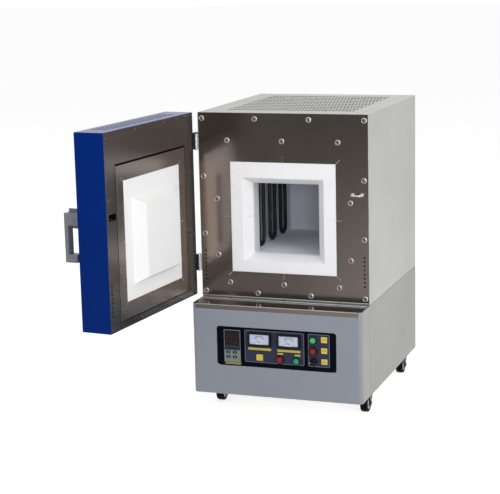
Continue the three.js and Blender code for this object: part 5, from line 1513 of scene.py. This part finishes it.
@dataclass
class Chamber(Assembly):
    """Fibre collar, chamber boards, heating elements and thermocouple."""

    element_x: float = 98.0
    first_y: float = 103.0
    pitch: float = 95.0
    leg_spacing: float = 42.0
    rod_radius: float = 5.2
    end_radius: float = 7.0
    end_height: float = 58.0
    floor: float = 118.0
    roof: float = 318.0
    roof_top: float = 408.0

    def build(self) -> None:
        """Makes every piece."""
        self.refine("fibre_collar", Finish.FIBRE, "ceramic_fibre", 1.6, 3)
        for name in ("hearth", "roof", "wall_right", "wall_left", "rear"):
            finish = Finish.HEARTH if name == "hearth" else Finish.BOARD
            self.refine(f"chamber_{name}", finish, "chamber_board", 0.8)
        for side, name in zip(SIDES, ("left", "right")):
            for i in range(3):
                self.element(f"heating_element_{name}_{i + 1}", side * self.element_x,
                             self.first_y + i * self.pitch)
        self.refine("thermocouple", Finish.ZINC, "zinc", 0.6)

    def element(self, node: str, x: float, y: float) -> None:
        """One hairpin with its cold ends, clamps and ceramic holder.

        Args:
            node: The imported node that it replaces.
            x: Middle of the hairpin.
            y: Middle of the hairpin.
        """
        bend = self.leg_spacing / 2
        low = self.floor + 5 + self.rod_radius + bend
        angles = [math.pi * i / 16 for i in range(17)]
        arc = [(x, y - bend * math.cos(a), low - bend * math.sin(a)) for a in angles]
        path = [(x, y - bend, self.roof + 30), *arc, (x, y + bend, self.roof + 30)]
        hairpin = self.shop.rod(path, self.rod_radius, Finish.ELEMENT, 20)
        thin, thick, top = self.rod_radius, self.end_radius, self.roof_top + self.end_height
        profile = [(0, self.roof + 14), (thin, self.roof + 14), (thick, self.roof + 20), (thick, top - 1),
                   (thick - 1, top), (0, top)]
        ends = [lathe(profile, (x, y + side * bend, 0), "z", 20) for side in SIDES]
        self.piece(f"{node}_rods", joined([hairpin, *ends]), Finish.ELEMENT, "heating_element", node)
        foot = self.roof_top + 0.3
        holder = block(x - 12, x + 12, y - 35, y + 35, foot, foot + 14, 1.5, 3)
        self.piece(f"{node}_holder", holder, Finish.CERAMIC, "ceramic_fibre")
        clamps = [block(x - 9, x + 9, y + side * bend - 9, y + side * bend + 9, top - 22, top - 12, 1.0)
                  for side in SIDES]
        self.piece(f"{node}_clamps", joined(clamps), Finish.ALUMINIUM, "aluminium")


@dataclass
class Base(Assembly):
    """Base cabinet, metal ledge, sill and what stands inside."""

    half_width: float = 240.0
    side_screw: Point = (-19.0, -199.0)
    ledge_half: float = 228.7
    ledge_edge: Point = (-81.0, -7.05)
    ledge_edge_highlight_radius: float = 0.95
    hem_highlight_half: float = 236.8
    hem_highlight_radius: float = 1.25
    hem_highlight_lines: tuple[Point, ...] = ((-1.05, -0.65), (-12.8, -4.9))
    lip: tuple[Point, ...] = ((-80.5, -7.95), (-80.5, -19), (-82, -19), (-82, -8.6), (-81.6, -6.9),
                              (-80.4, -6.05), (-79.0, -6.0), (-79.0, -6.05))

    def build(self) -> None:
        """Makes every piece."""
        self.cover()
        self.refine("base_casing", Finish.BASE_PAINT, "warm_grey_paint")
        self.refine("base_chassis", Finish.ZINC, "zinc", 0.4, 1)
        self.ledge()
        self.refine("sill_strip", Finish.TRIM, "stainless")
        # Painted highlight: bright rods along the sill's two edges stand for the light lines on them.
        hem_highlights = [self.across(self.hem_highlight_half, y, z, self.hem_highlight_radius, Finish.HEM) for y, z in self.hem_highlight_lines]
        self.piece("sill_hems", joined(hem_highlights), Finish.HEM, "stainless")
        dress("transformer", Finish.WINDING)
        dress("power_regulator", Finish.ALUMINIUM)
        sill = [(x, -8, -4.2) for x in (-155, 0, 155)]
        self.screws("sill_screws", screw_head(3.6, 2.0, "z", 1.0), sill, "z", 5, finish=Finish.DARK_STEEL)
        for side, name in ((1, "right"), (-1, "left")):
            place = (side * (self.half_width - 1), *self.side_screw)
            self.screws(f"{name}_cover_screw", screw_head(2.2, 0.9, "x", side), [place], "x", 6)
        rear = [(x, CABINET_DEPTH, z) for x in (-226, 0, 226) for z in (-20, -243)]
        self.screws("base_rear_screws", screw_head(5.0, 2.4, "y", 1.0), rear, "y", 8)

    def across(self, half: float, y: float, z: float, radius: float, finish: Finish) -> bpy.types.Object:
        """A level rod across the cabinet, as far to the right as to the left."""
        return self.shop.rod([(-half, y, z), (half, y, z)], radius, finish)

    def cover(self) -> None:
        """Front cover with a dimple for a screw and a joint on each side."""
        cover = refined("base_front_panel", 0.5)
        for x in (-self.half_width, self.half_width):
            for tool in (disc(2.7, -1.2, 1.0, (x, *self.side_screw), "x", 0.1, 24),
                         block(x - 0.7, x + 0.7, -1.5, 0.5, -262, 2, 0)):
                tool.data.transform(CABINET)
                cover = carve(cover, tool)
        self.shop.deliver("base_front_cover", cover, Finish.FRONT_PAINT, self.body, None, "lilac_grey_paint",
                          ("base_front_panel",))

    def ledge(self) -> None:
        """Metal deck between the cover's ends, the lip folded down along its front, and a bright rod on the
        lip's top edge as a painted highlight.
        """
        line = [(-238.2, -13.6), *circle(-229, -71, 9.2, 6, 180, 90), *circle(229, -71, 9.2, 6, 270, 90),
                (238.2, -13.6)]
        deck = plate(line, 1.9, -7.0, 0.3, plane=Plane.TOP)
        self.piece("ledge_deck", deck, Finish.DECK, "stainless", "ledge_plate")
        builder = bmesh.new()
        left, right = ([builder.verts.new((x, y, z)) for y, z in self.lip]
                       for x in (-self.ledge_half, self.ledge_half))
        for i in range(len(left)):
            j = (i + 1) % len(left)
            builder.faces.new([left[i], left[j], right[j], right[i]])
        builder.faces.new(left[::-1])
        builder.faces.new(right)
        bmesh.ops.recalc_face_normals(builder, faces=builder.faces)
        self.piece("ledge_lip", object_of(mesh_of(builder, 50)), Finish.LIP, "stainless")
        # Painted highlight: a bright rod along the lip's top edge.
        edge = self.across(self.ledge_half, *self.ledge_edge, self.ledge_edge_highlight_radius, Finish.RING)
        self.piece("ledge_edge", edge, Finish.RING, "stainless")


@dataclass
class Caster(Assembly):
    """One swivel caster."""

    name: str
    x: float
    y: float
    trail: float = 22.0
    axle_height: float = -294.0
    wheel_radius: float = 25.0
    half_width: float = 10.5

    def build(self) -> None:
        """Makes the fork and the wheel."""
        fork, wheel = f"fork_{self.name}", f"wheel_{self.name}"
        self.refine(f"caster_{fork}", Finish.DARK_STEEL, "black_steel", 0.6, body=fork)
        race = lathe([(12.5, -266.6), (15.5, -266.6), (16.4, -265.4), (16.4, -264.4), (12.5, -264.4),
                      (12.5, -266.6)], (self.x, self.y, 0), "z", 28)
        self.piece(f"caster_race_{self.name}", race, Finish.ZINC, "zinc", body=fork)
        centre = (self.x, self.y - self.trail, self.axle_height)
        bolt = hex_nut(10.5, 3.0, 4.2, (centre[0] + 15.2, centre[1], centre[2]), "x")
        self.piece(f"caster_nut_{self.name}", bolt, Finish.ZINC, "zinc", body=fork)
        half, radius = self.half_width, self.wheel_radius
        tread = mirrored([(16.2, -half + 1.0), (17.0, -half), (radius - 3.2, -half),
                          (radius - 1.0, -half + 1.2), (radius, -half + 3.4)])
        self.piece(f"caster_tyre_{self.name}", lathe(tread, centre, "x", 48), Finish.WHEEL, "wheel_black",
                   f"caster_{wheel}", wheel)
        hub = mirrored([(4.5, -half), (7.4, -half), (8.0, -half + 2.6), (13.4, -half + 2.6),
                        (14.2, -half + 0.6), (16.0, -half + 0.6)])
        self.piece(f"caster_hub_{self.name}", lathe(hub, centre, "x", 40), Finish.HUB, "wheel_black",
                   body=wheel)


@dataclass(frozen=True)
class Button:
    """One push-button: its node's name, its place and its finishes."""

    name: str
    x: float
    z: float
    lens: Finish
    rim: Finish

    @property
    def body(self) -> str:
        """The body that it moves."""
        return self.name.replace("button", "push")

    @property
    def slot(self) -> str:
        """The record's material slot."""
        return "red_plastic" if "red" in self.name else "green_plastic"


@dataclass
class ControlPanel(Assembly):
    """The dark window with its instruments, buttons and plates."""

    face: float = -80.2
    meter_places: tuple[tuple[str, float], ...] = (("ammeter", -45.5), ("voltmeter", 37.3))
    meter_top: float = -78.2
    fields: tuple[tuple[float, float, float, float], ...] = (
        (-89.2, 79.5, -161.5, -72.0), (90.7, 150.6, -162.0, -72.0))
    knob_place: Point = (106.4, -147.4)
    keys: tuple[Point, ...] = ((-135.4, -136.3), (-116.4, -136.3), (-135.4, -149.1), (-116.4, -149.1))
    buttons: tuple[Button, ...] = (
        Button("large_red_button", 10.9, -148.4, Finish.RED, Finish.RED_RIM),
        Button("large_green_button", 58.3, -149.5, Finish.GREEN, Finish.GREEN_RIM),
        Button("small_green_button", 105.4, -88.4, Finish.LIGHT_GREEN, Finish.GREEN_RIM),
        Button("small_red_button", 105.4, -118.8, Finish.RED, Finish.RED_RIM))

    def build(self) -> None:
        """Makes every piece."""
        self.backing()
        self.strips()
        for name, x in self.meter_places:
            self.meter(name, x)
        self.controller()
        for button in self.buttons:
            self.button(button)
        self.knob()

    def card(self, name: str, outline: Sequence[Point], level: float, finish: Finish, thickness: float = 0.5,
             edge: float = 0.12, holes: Iterable[Sequence[Point]] = (), slot: str = "black_panel") -> None:
        """Makes and hands over one flat piece that faces the front, its middle at a level along Y."""
        self.piece(name, plate(outline, thickness, level, edge, holes), finish, slot)

    def backing(self) -> None:
        """Dark plate, its two framed fields and the sleeves of the buttons."""
        holes = [circle(button.x, button.z, 5.3, 16) for button in self.buttons]
        holes += [circle(*self.knob_place, 3.3, 12)]
        holes += [circle(x, self.meter_top - 18.25, 14.3, 24) for _, x in self.meter_places]
        holes += [rectangle(-146.0, -101.0, -167.1, -74.9)]
        backing = plate(rectangle(-177, 177, -182, -58, 12), 2.4, self.face + 1.25, 0.2, holes)
        self.piece("panel_backing", backing, Finish.PANEL, "black_panel", "control_window")
        cuts = ([rectangle(x - 32.7, x + 32.7, -114.9, -78.0) for _, x in self.meter_places],
                [circle(*self.knob_place, 3.4, 12)])
        for i, (x0, x1, z0, z1) in enumerate(self.fields):
            inner = [circle(button.x, button.z, 12.4, 24) for button in self.buttons if x0 < button.x < x1]
            line = rectangle(x0, x1, z0, z1, 4)
            self.card(f"panel_field_{i + 1}", line, self.face - 0.2, Finish.FIELD, 0.4, 0.1, inner + cuts[i])
            self.card(f"panel_outline_{i + 1}", line, self.face - 0.55, Finish.OUTLINE, 0.3, 0.08,
                      [rectangle(x0 + 1.4, x1 - 1.4, z0 + 1.4, z1 - 1.4, 3)])
        sleeve = [(10.8, 1.0), (10.8, -3.6), (11.2, -4.0), (12.2, -4.0), (12.7, -3.4), (12.7, 1.0),
                  (10.8, 1.0)]
        for button in self.buttons:
            self.piece(f"{button.name}_sleeve", lathe(sleeve, (button.x, self.face, button.z), "y", 36),
                       button.rim, "black_panel")

    def strips(self) -> None:
        """Blank plates and strips, with generic figures on the squares."""
        level = self.face - 0.75
        shapes = ((-79, -14, -126.6, -120.2, 0.6), (4, 69, -126.9, -120.6, 0.6),
                  (3.8, 20.3, -135.2, -130.6, 0.5), (52.6, 68.6, -136.6, -132.0, 0.5),
                  (-56.5, -37.5, -155.5, -138.5, 1.2))
        for i, shape in enumerate(shapes):
            self.card(f"name_strip_{i + 1}", rectangle(*shape), level, Finish.YELLOW)
        squares = (("ON", -94.4, -78.6), ("OFF", -124.0, -108.9), ("0 I", -154.3, -139.3))
        for i, (words, z0, z1) in enumerate(squares):
            self.card(f"label_square_{i + 1}", rectangle(127.2, 144.0, z0, z1, 0.8), level, Finish.GOLD)
            self.piece(f"label_figures_{i + 1}", text(words, 6.4, 135.6, level - 0.24, (z0 + z1) / 2),
                       Finish.PRINT, "black_panel")

    def meter(self, name: str, x: float) -> None:
        """Panel meter: case, card, scale, figures, cover, pane and needle.

        Args:
            name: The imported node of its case.
            x: Its middle.
        """
        self.refine(name, Finish.BLACK, "black_plastic", 0.7)
        floor, top = self.face - 4.3, self.meter_top - 3.4
        foot = top - 27.6
        pivot = foot + 5.0
        self.card(f"{name}_card", rectangle(x - 27.3, x + 27.3, foot + 0.2, top - 0.2), floor - 0.2,
                  Finish.DIAL, 0.3, 0.05, slot="black_plastic")
        mark = block(-0.24, 0.24, -0.08, 0.0, 0, 2.2, 0)
        ticks = Patterns.run(self.shop.patterns.scale, object_of(bpy.data.meshes.new("seed")), {
            "Mark": mark, "Count": 31, "Radius": 16.2, "Start": -0.8727, "Sweep": 1.7453,
            "Finish": Finish.DIAL_INK.material})
        bpy.data.objects.remove(mark)
        ticks.data.transform(Matrix.Translation((x, floor - 0.36, pivot)))
        band = plate(circle(x, pivot, 16.3, 24, 40, 100) + circle(x, pivot, 15.6, 24, 40, 100)[::-1], 0.1,
                     floor - 0.4, 0.0)
        figures = [text(words, 3.4, x + 12.9 * math.sin(angle), floor - 0.36, pivot + 12.9 * math.cos(angle))
                   for words, angle in zip(("0", "20", "40", "60"), (-0.82, -0.28, 0.28, 0.82))]
        self.piece(f"{name}_scale", joined([band, ticks, *figures]), Finish.DIAL_INK, "black_plastic")
        self.card(f"{name}_cover", circle(x, foot - 9.5, 14.5, 24, 44, 92), floor - 3.6, Finish.ARCH, 0.9,
                  0.15, slot="black_plastic")
        self.card(f"{name}_pane", rectangle(x - 27.4, x + 27.4, foot + 0.1, top - 0.1), floor - 4.5,
                  Finish.PANE, 0.4, 0.1)
        self.needle(name, x, floor, pivot)

    def needle(self, name: str, x: float, floor: float, pivot: float) -> None:
        """Tapered needle with a hub and a short tail, leaning left at its zero.

        Args:
            name: The meter's node.
            x: The meter's middle.
            floor: Level of the dial.
            pivot: Height of the pivot.
        """
        y1, y0 = floor - 1.3, floor - 2.0
        blade = plate([(-0.35, -4.5), (0.35, -4.5), (0.5, 0), (0.16, 18.6), (-0.16, 18.6), (-0.5, 0)],
                      y1 - y0, (y0 + y1) / 2, 0.05)
        blade.data.transform(Matrix.Translation((x, 0, pivot)) @ Matrix.Rotation(math.radians(-45), 4, "Y"))
        hub = lathe(ring_of(1.1, 2.4, y0, y1), (x, 0, pivot), "y", 20)
        self.piece(f"{name}_pointer", joined([blade, hub]), Finish.DIAL_INK, "black_plastic",
                   f"{name}_needle", f"{name}_pointer")

    def controller(self) -> None:
        """Temperature controller: case, display, unlit figures, fascia and keys."""
        face = self.face - 5.3
        self.refine("controller", Finish.BLACK, "black_plastic")
        key_holes = [rectangle(x - 6.4, x + 6.4, z - 3.9, z + 3.9, 3.6) for x, z in self.keys]
        self.card("controller_fascia", rectangle(-147.2, -99.8, -163.2, -130.6, 0.6), face - 0.25,
                  Finish.FASCIA, holes=key_holes, slot="grey_key")
        self.card("controller_rim", rectangle(-147.2, -99.8, -130.4, -73.3, 0.8), face - 0.25, Finish.OUTLINE,
                  holes=[rectangle(-145.4, -101.6, -129.6, -75.4, 0.5)], slot="black_plastic")
        for name, low, high, finish in (("display", -115.6, -77.2, Finish.DISPLAY),
                                        ("film", -129.8, -115.8, Finish.DISPLAY_LOW)):
            glass = rectangle(-144.4, -102.6, low, high)
            self.card(f"controller_{name}", glass, face + 0.7, finish, edge=0.1)
        digits = [part for x, step, z, width, height in ((-135.5, 8.6, -91.0, 6.0, 11.0),
                                                         (-133.5, 7.6, -107.5, 4.8, 8.0))
                  for i in range(4) for part in seven_segments(x + i * step, face + 0.4, z, width, height)]
        self.piece("controller_digits", joined(digits), Finish.DIGIT, "black_panel")
        dots = [disc(0.8, -0.1, 0.1, (-140.5, face + 0.35, z), "y", 0.05, 12) for z in (-88.0, -97.0, -106.0)]
        dashes = [plate(rectangle(x, x + 4.4, -121.2, -119.8), 0.12, face + 0.4, 0.02)
                  for x in (-141.0, -131.0, -121.0, -111.0)]
        self.piece("controller_marks", joined(dots + dashes), Finish.MARK, "black_panel")
        strip = rectangle(-144.2, -98.6, -169.6, -164.2, 0.5)
        self.card("controller_strip", strip, face - 0.35, Finish.OLIVE)
        arrows = ([(-1.9, 0), (0, -1.7), (1.9, 0), (0, 1.7)], [(1.6, 1.9), (-1.8, 0), (1.6, -1.9)],
                  [(-2.0, 1.5), (0, -1.9), (2.0, 1.5)], [(-2.0, -1.5), (2.0, -1.5), (0, 1.9)])
        for i, ((x, z), arrow) in enumerate(zip(self.keys, arrows)):
            number = i + 1
            oval = rectangle(x - 5.8, x + 5.8, z - 3.3, z + 3.3, 3.2, 8)
            self.piece(f"key_cap_{number}", plate(oval, 2.3, face + 0.3, 0.5), Finish.KEY, "grey_key",
                       f"controller_key_{number}", f"key_{number}")
            mark = plate([(x + across, z + up) for across, up in arrow], 0.12, face - 0.9, 0.02)
            self.piece(f"key_mark_{number}", mark, Finish.KEY_MARK, "grey_key", body=f"key_{number}")

    def button(self, button: Button) -> None:
        """Push-button: a dark rim with a bright lens set in it.

        Args:
            button: The button.
        """
        back, place = self.face - 3.5, (button.x, 0, button.z)
        cap = lathe([(0, back - 4.2), (7.6, back - 4.2), (7.8, back - 4.9), (9.4, back - 5.0),
                     (10.0, back - 4.5), (10.2, back - 3.6), (10.2, back), (5.0, back), (5.0, back + 22.0),
                     (0, back + 22.0)], place, "y", 36)
        self.piece(f"{button.name}_cap", cap, button.rim, button.slot, button.name, button.body)
        dome = lathe([(0, back - 4.9), (3.0, back - 4.85), (6.0, back - 4.6), (7.5, back - 4.3),
                      (7.5, back - 3.6), (0, back - 3.6)], place, "y", 36)
        self.piece(f"{button.name}_lens", dome, button.lens, button.slot, body=button.body)

    def knob(self) -> None:
        """Selector knob with a ribbed skirt, a grip bar and a white mark."""
        (x, z), back = self.knob_place, self.face - 0.5
        skirt = lathe([(0, back - 11.4), (8.0, back - 11.4), (8.8, back - 11.9), (9.4, back - 11.4),
                       (9.8, back - 1.0), (9.8, back), (3.0, back), (3.0, back + 14), (0, back + 14)],
                      (x, 0, z), "y", 40)
        grip = block(x - 9.2, x + 9.2, back - 16.8, back - 11.0, z - 2.7, z + 2.7, 1.1, 3)
        ribs = [block(9.6, 9.95, back - 10.5, back - 1.2, -0.35, 0.35, 0.12, 1) for _ in range(24)]
        for i, rib in enumerate(ribs):
            rib.data.transform(Matrix.Translation((x, 0, z)) @ Matrix.Rotation(math.tau * i / 24, 4, "Y"))
        self.piece("knob_body", joined([skirt, grip, *ribs]), Finish.BLACK, "black_plastic", "selector_knob",
                   "knob")
        mark = block(x - 8.8, x - 5.2, back - 17.0, back - 16.7, z - 0.7, z + 0.7, 0.1, 1)
        self.piece("knob_mark", mark, Finish.WHITE, "black_plastic", body="knob")


def seven_segments(x: float, y: float, z: float, width: float, height: float) -> list[bpy.types.Object]:
    """The seven bars of one unlit figure.

    Args:
        x: Middle.
        y: Level.
        z: Middle height.
        width: Width of the figure.
        height: Height of the figure.

    Returns:
        The bars.
    """
    t, half, tall = width * 0.16, width / 2, height / 2
    bars = [rectangle(x - half + t, x + half - t, z + k * tall - t / 2, z + k * tall + t / 2)
            for k in (-1, 0, 1)]
    bars += [rectangle(x + side * half - t / 2, x + side * half + t / 2, z + min(0, k * tall) + t * 0.7,
                       z + max(0, k * tall) - t * 0.7) for side in SIDES for k in SIDES]
    return [plate(bar, 0.12, y, 0.02) for bar in bars]


@dataclass
class Door(Assembly):
    """Swinging door: shell, inner plate, floating plate, plug, hinges and latch."""

    body: ClassVar[str] = "door"
    matrix: ClassVar[Matrix] = DOOR
    half_width: float = 240.0
    foot: float = 1.5
    sheet: float = 1.5
    slots_across: int = 5
    slot_rows: int = 16
    slot_pitch: Point = (9.3, 23.25)
    slot_half: Point = (2.6, 7.0)
    band_depth: float = 45.0
    perforated: float = 0.5
    tray_half: float = 186.0
    tray_foot: float = 22.0
    tray_top: float = 418.0
    tray_depth: float = 30.0
    bracket_sheet: float = 2.3
    hinge_heights: tuple[tuple[str, float], ...] = (("upper", 428.0), ("lower", 91.0))
    leaf_face: float = -242.7

    def level(self, depth: float) -> float:
        """Place along Y, with the door closed, of a depth counted from its inner face outwards."""
        return -DOOR_GAP - depth

    def build(self) -> None:
        """Makes every piece."""
        self.shell()
        self.inner_plate()
        self.floating_plate()
        self.refine("door_plug", Finish.PLUG, "ceramic_fibre", 1.8, 3)
        dress("door_insulation", Finish.FILLER)
        self.hinges()
        self.latch()

    def shell(self) -> None:
        """Blue shell with a perforated band let into its top."""
        item = refined("door_shell", 0.0)
        item.data.transform(DOOR.inverted())
        half, length = self.slot_rows * self.slot_pitch[1] / 2, self.slots_across * self.slot_pitch[0]
        middle = self.level(self.band_depth)
        band = (-half, half, middle - length / 2, middle + length / 2)
        item = carve(item, block(*band, CABINET_TOP - 5, CABINET_TOP + 5, 0))
        builder = bmesh.new()
        builder.from_mesh(item.data)
        simplified(builder, 1e-3)
        bevelled(builder, 0.5)
        item.data = mesh_of(builder)
        self.piece("door_case", item, Finish.DOOR_PAINT, "blue_paint", "door_shell")
        sheet = self.shop.perforated(self.slots_across, self.slot_rows, self.slot_pitch, self.slot_half,
                                     self.perforated, Finish.DOOR_PAINT)
        turn = Matrix.Rotation(math.pi / 2, 4, "Z")
        sheet.data.transform(Matrix.Translation((0, middle, CABINET_TOP)) @ turn)
        self.piece("door_vent_band", sheet, Finish.DOOR_PAINT, "blue_paint")
        shade = block(*band, CABINET_TOP - 1.75, CABINET_TOP - 1.6, 0)
        self.piece("door_vent_shade", shade, Finish.HOLLOW, "black_panel")

    def inner_plate(self) -> None:
        """Brushed plate with the floating plate's opening, latch slot, vents and small screws."""
        side = self.half_width - self.sheet - 0.3
        holes = [rectangle(-188.5, 188.5, 19.5, 423), rectangle(192.0, 227.0, 285, 302), *vent_columns(3.2)]
        outline = rectangle(-side, side, self.foot + 1.8, CABINET_TOP - 1.8)
        sheet = plate(outline, self.sheet, self.level(self.sheet / 2), 0.3, holes)
        self.piece("door_inner_sheet", sheet, Finish.DOOR_PLATE, "stainless", "door_inner_plate")
        places = ((-227, 499), (-77, 498), (79, 499), (228, 338), (-230, 338), (-232, 173), (231, 11),
                  (77, 10), (-74, 11), (-231, 12))
        self.screws("door_screws", screw_head(2.6, 0.7, "y", 1.0, 0.42, 14),
                    [(x, self.level(0), z) for x, z in places], "y", 21)
        # Dark strips behind the plate's vents, as painted shade.
        shades = vent_shades(6, self.level(1.9), self.level(1.6))
        self.piece("door_vent_backing", shades, Finish.HOLLOW, "black_panel")

    def floating_plate(self) -> None:
        """Tray that frames the plug: a slit face and four bent sides."""
        half, foot, top, sheet = self.tray_half, self.tray_foot, self.tray_top, self.sheet
        face = plate(rectangle(-half, half, foot, top), sheet, self.level(sheet / 2), 0.3,
                     [slit_opening(-150.3, 150.3, 65.7, 377.3, 16, 1.7)])
        within = half - sheet - 0.1
        behind, ahead = self.level(self.tray_depth), self.level(1.0)
        walls = [block(x0, x1, behind, ahead, z0, z1, 0.2) for x0, x1, z0, z1 in (
            (-half, sheet - half, foot, top), (half - sheet, half, foot, top),
            (-within, within, foot, foot + sheet), (-within, within, top - sheet, top))]
        self.piece("floating_tray", joined([face, *walls]), Finish.TRAY, "stainless", "plug_plate")
        packing = plate(slit_opening(-151, 151, 65, 378, 17, 3.4), 0.6, self.level(1.2), 0.1,
                        [rectangle(-150.1, 150.1, 65.9, 377.1)])
        self.piece("tray_slit_packing", packing, Finish.FILLER, "ceramic_fibre")
        # A black frame behind the tray's edges, as painted shade in the gap round the tray.
        rim = plate(rectangle(-236, 236, 6, 502), 0.8, self.level(28.5), 0.1, [rectangle(-182, 182, 26, 414)])
        self.piece("gap_backing", rim, Finish.HOLLOW, "black_panel")

    def hinges(self) -> None:
        """Both leaves of both hinges and their countersunk screws."""
        for name, middle in self.hinge_heights:
            for node, body in ((f"hinge_leaf_{name}", "furnace_body"), (f"door_hinge_leaf_{name}", "door")):
                leaf = refined(node, 0.7, 3)
                for k in range(7):
                    level = middle + (k - 3) * 46 / 6
                    ring = ring_of(3.4, 5.4, level - 1.15, level + 1.15)
                    groove = lathe(ring, (HINGE.x, HINGE.y, 0), "z", 32)
                    groove.data.transform(CABINET)
                    leaf = carve(leaf, groove)
                self.shop.deliver(f"{node}_finished", leaf, Finish.HINGE_STEEL, body, None, "zinc", (node,))
            for label, rows, body, matrix in (("fixed", (14, 27), "furnace_body", CABINET),
                                              ("moving", (-13, -24), "door", DOOR)):
                points = [(self.leaf_face, y, middle + dz) for y in rows for dz in (-15, 0, 15)]
                self.shop.scatter(f"hinge_screws_{label}_{name}", screw_head(3.2, 1.0, "x", -1.0, 0.42, 16),
                                  points, "x", 31, "zinc", body, matrix)

    def latch(self) -> None:
        """Bracket with its screws, and the lever."""
        self.refine("latch_bracket", Finish.HANDLE, "grey_coated_steel", 0.6)
        self.refine("latch_handle", Finish.LEVER, "grey_coated_steel", 2.0, 4, "latch")
        places = [(x, self.level(DOOR_DEPTH) - self.bracket_sheet, z) for x in (191, 227) for z in (250, 307)]
        self.screws("bracket_screws", screw_head(3.6, 1.8, "y", -1.0, 0.42, 16), places, "y", 41)


# Picture

@dataclass
class Studio:
    """Camera, lamps, floor, surroundings and the boards that gloss sees."""

    place: tuple[float, float, float] = (1248.24, -3722.83, 928.64)
    right: tuple[float, float, float] = (0.94183, 0.33528, -0.02330)
    up: tuple[float, float, float] = (-0.04402, 0.19179, 0.98045)
    forward: tuple[float, float, float] = (-0.33319, 0.92239, -0.19539)
    focal_pixels: float = 1477.9
    picture_width: float = 500.0
    sensor: float = 36.0

    def build(self) -> None:
        """Makes everything round the object."""
        self.camera()
        self.floor()
        self.world()
        self.lamps()
        self.flags()
        bpy.context.scene.view_settings.view_transform = "Standard"

    def camera(self) -> None:
        """Camera at the photograph's place."""
        data = bpy.data.cameras.new("camera")
        data.sensor_width = self.sensor
        data.lens = self.focal_pixels / self.picture_width * data.sensor_width
        data.clip_end = 100.0
        item = object_of(data, "camera")
        columns = [Vector(self.right), Vector(self.up), -Vector(self.forward)]
        turn = Matrix([[columns[j][i] for j in range(3)] for i in range(3)])
        item.matrix_world = Matrix.Translation(CABINET @ Vector(self.place)) @ turn.to_4x4()
        bpy.context.scene.camera = item

    def floor(self) -> None:
        """Pale floor that keeps the object's shadow and glows a little for the camera and for gloss."""
        builder = bmesh.new()
        bmesh.ops.create_grid(builder, x_segments=1, y_segments=1, size=30)
        item = object_of(mesh_of(builder), "floor")
        material = bpy.data.materials.new("floor")
        material.use_nodes = True
        material.node_tree.nodes.clear()
        nodes = Nodes(material.node_tree)
        seen = nodes.seen_rays()
        diffuse = nodes.node("ShaderNodeBsdfDiffuse", values={"Color": ink("#e4e4e4")})
        glow = nodes.node("ShaderNodeEmission", values={"Color": (1, 1, 1, 1), "Strength": seen * 0.66})
        both = nodes.node("ShaderNodeAddShader", values={0: diffuse.outputs[0], 1: glow.outputs[0]})
        nodes.node("ShaderNodeOutputMaterial", values={"Surface": both.outputs[0]})
        item.data.materials.append(material)

    def world(self) -> None:
        """White surroundings for the camera and for gloss, and plain light for the rest."""
        world = bpy.data.worlds.new("studio")
        bpy.context.scene.world = world
        world.use_nodes = True
        world.node_tree.nodes.clear()
        nodes = Nodes(world.node_tree)
        strength = nodes.seen_rays() * 0.6 + 0.4
        back = nodes.node("ShaderNodeBackground", values={"Color": (1, 1, 1, 1), "Strength": strength})
        nodes.node("ShaderNodeOutputWorld", values={"Surface": back.outputs[0]})

    def lamps(self) -> None:
        """Soft lamps, one of them close to the camera so that the chamber's inside shows."""
        middle = CABINET @ Vector((0, 150, 120))
        for name, place, size, power in (
                ("key", (2.3, -1.75, 1.9), 2.0, 50), ("front", (1.15, -3.6, 0.7), 0.9, 32),
                ("fill", (-1.8, -3.0, 1.8), 2.4, 14), ("back", (0.4, 2.2, 2.8), 2.0, 30)):
            data = bpy.data.lights.new(name, "AREA")
            data.size, data.energy = size, power
            spot = middle + Vector(place)
            turn = (middle - spot).to_track_quat("-Z", "Y").to_matrix().to_4x4()
            object_of(data, name).matrix_world = Matrix.Translation(spot) @ turn

    def flags(self) -> None:
        """Dark boards around the furnace, and a pale card that swings with the plug, seen by gloss only; the
        card glows by the plug's hinge-side wall as a painted reflection of light on that wall.
        """
        glow = Backdrop("backdrop", 0.22, 0.6).material()
        # Painted reflection: the card glows so that the front plate mirrors the plug's side as lit.
        card = Paint("plug_glow").glow(ink("#fffaf0"))
        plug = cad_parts["door_plug"].data.vertices
        reach = max((DOOR.inverted() @ vertex.co).y for vertex in plug)
        boards = ((block(-2200, 350, -1500, -1480, -310, 1150, 0), CABINET, glow),
                  (block(-1700, 350, -1480, -330, -318, -316, 0), CABINET, glow),
                  (block(-640, -241, 560, 580, -310, 480, 0), CABINET, glow),
                  (block(-139, -138.5, -DOOR_GAP + 1, reach, 85, 358, 0), DOOR, card))
        for i, (board, place, finish) in enumerate(boards):
            board.name = f"flag_{i + 1}"
            board.data.transform(place)
            board.data.materials.append(finish)
            board.visible_camera = board.visible_diffuse = board.visible_shadow = False
            board.visible_transmission = False
        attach(boards[-1][0], "door")


def main() -> None:
    """Builds the furnace and its surroundings."""
    logging.basicConfig(level=logging.INFO, format="%(message)s")
    Studio().build()
    shop = Workshop()
    casters = [Caster(shop, f"{end}_{side}", x, y) for end, y in (("front", 79), ("back", 478))
               for side, x in (("left", -211), ("right", 211))]
    for assembly in (UpperCabinet(shop), Chamber(shop), Base(shop), *casters, ControlPanel(shop), Door(shop)):
        assembly.build()
    LOG.info("%d pieces", shop.count)


if __name__ == "__main__":
    main()
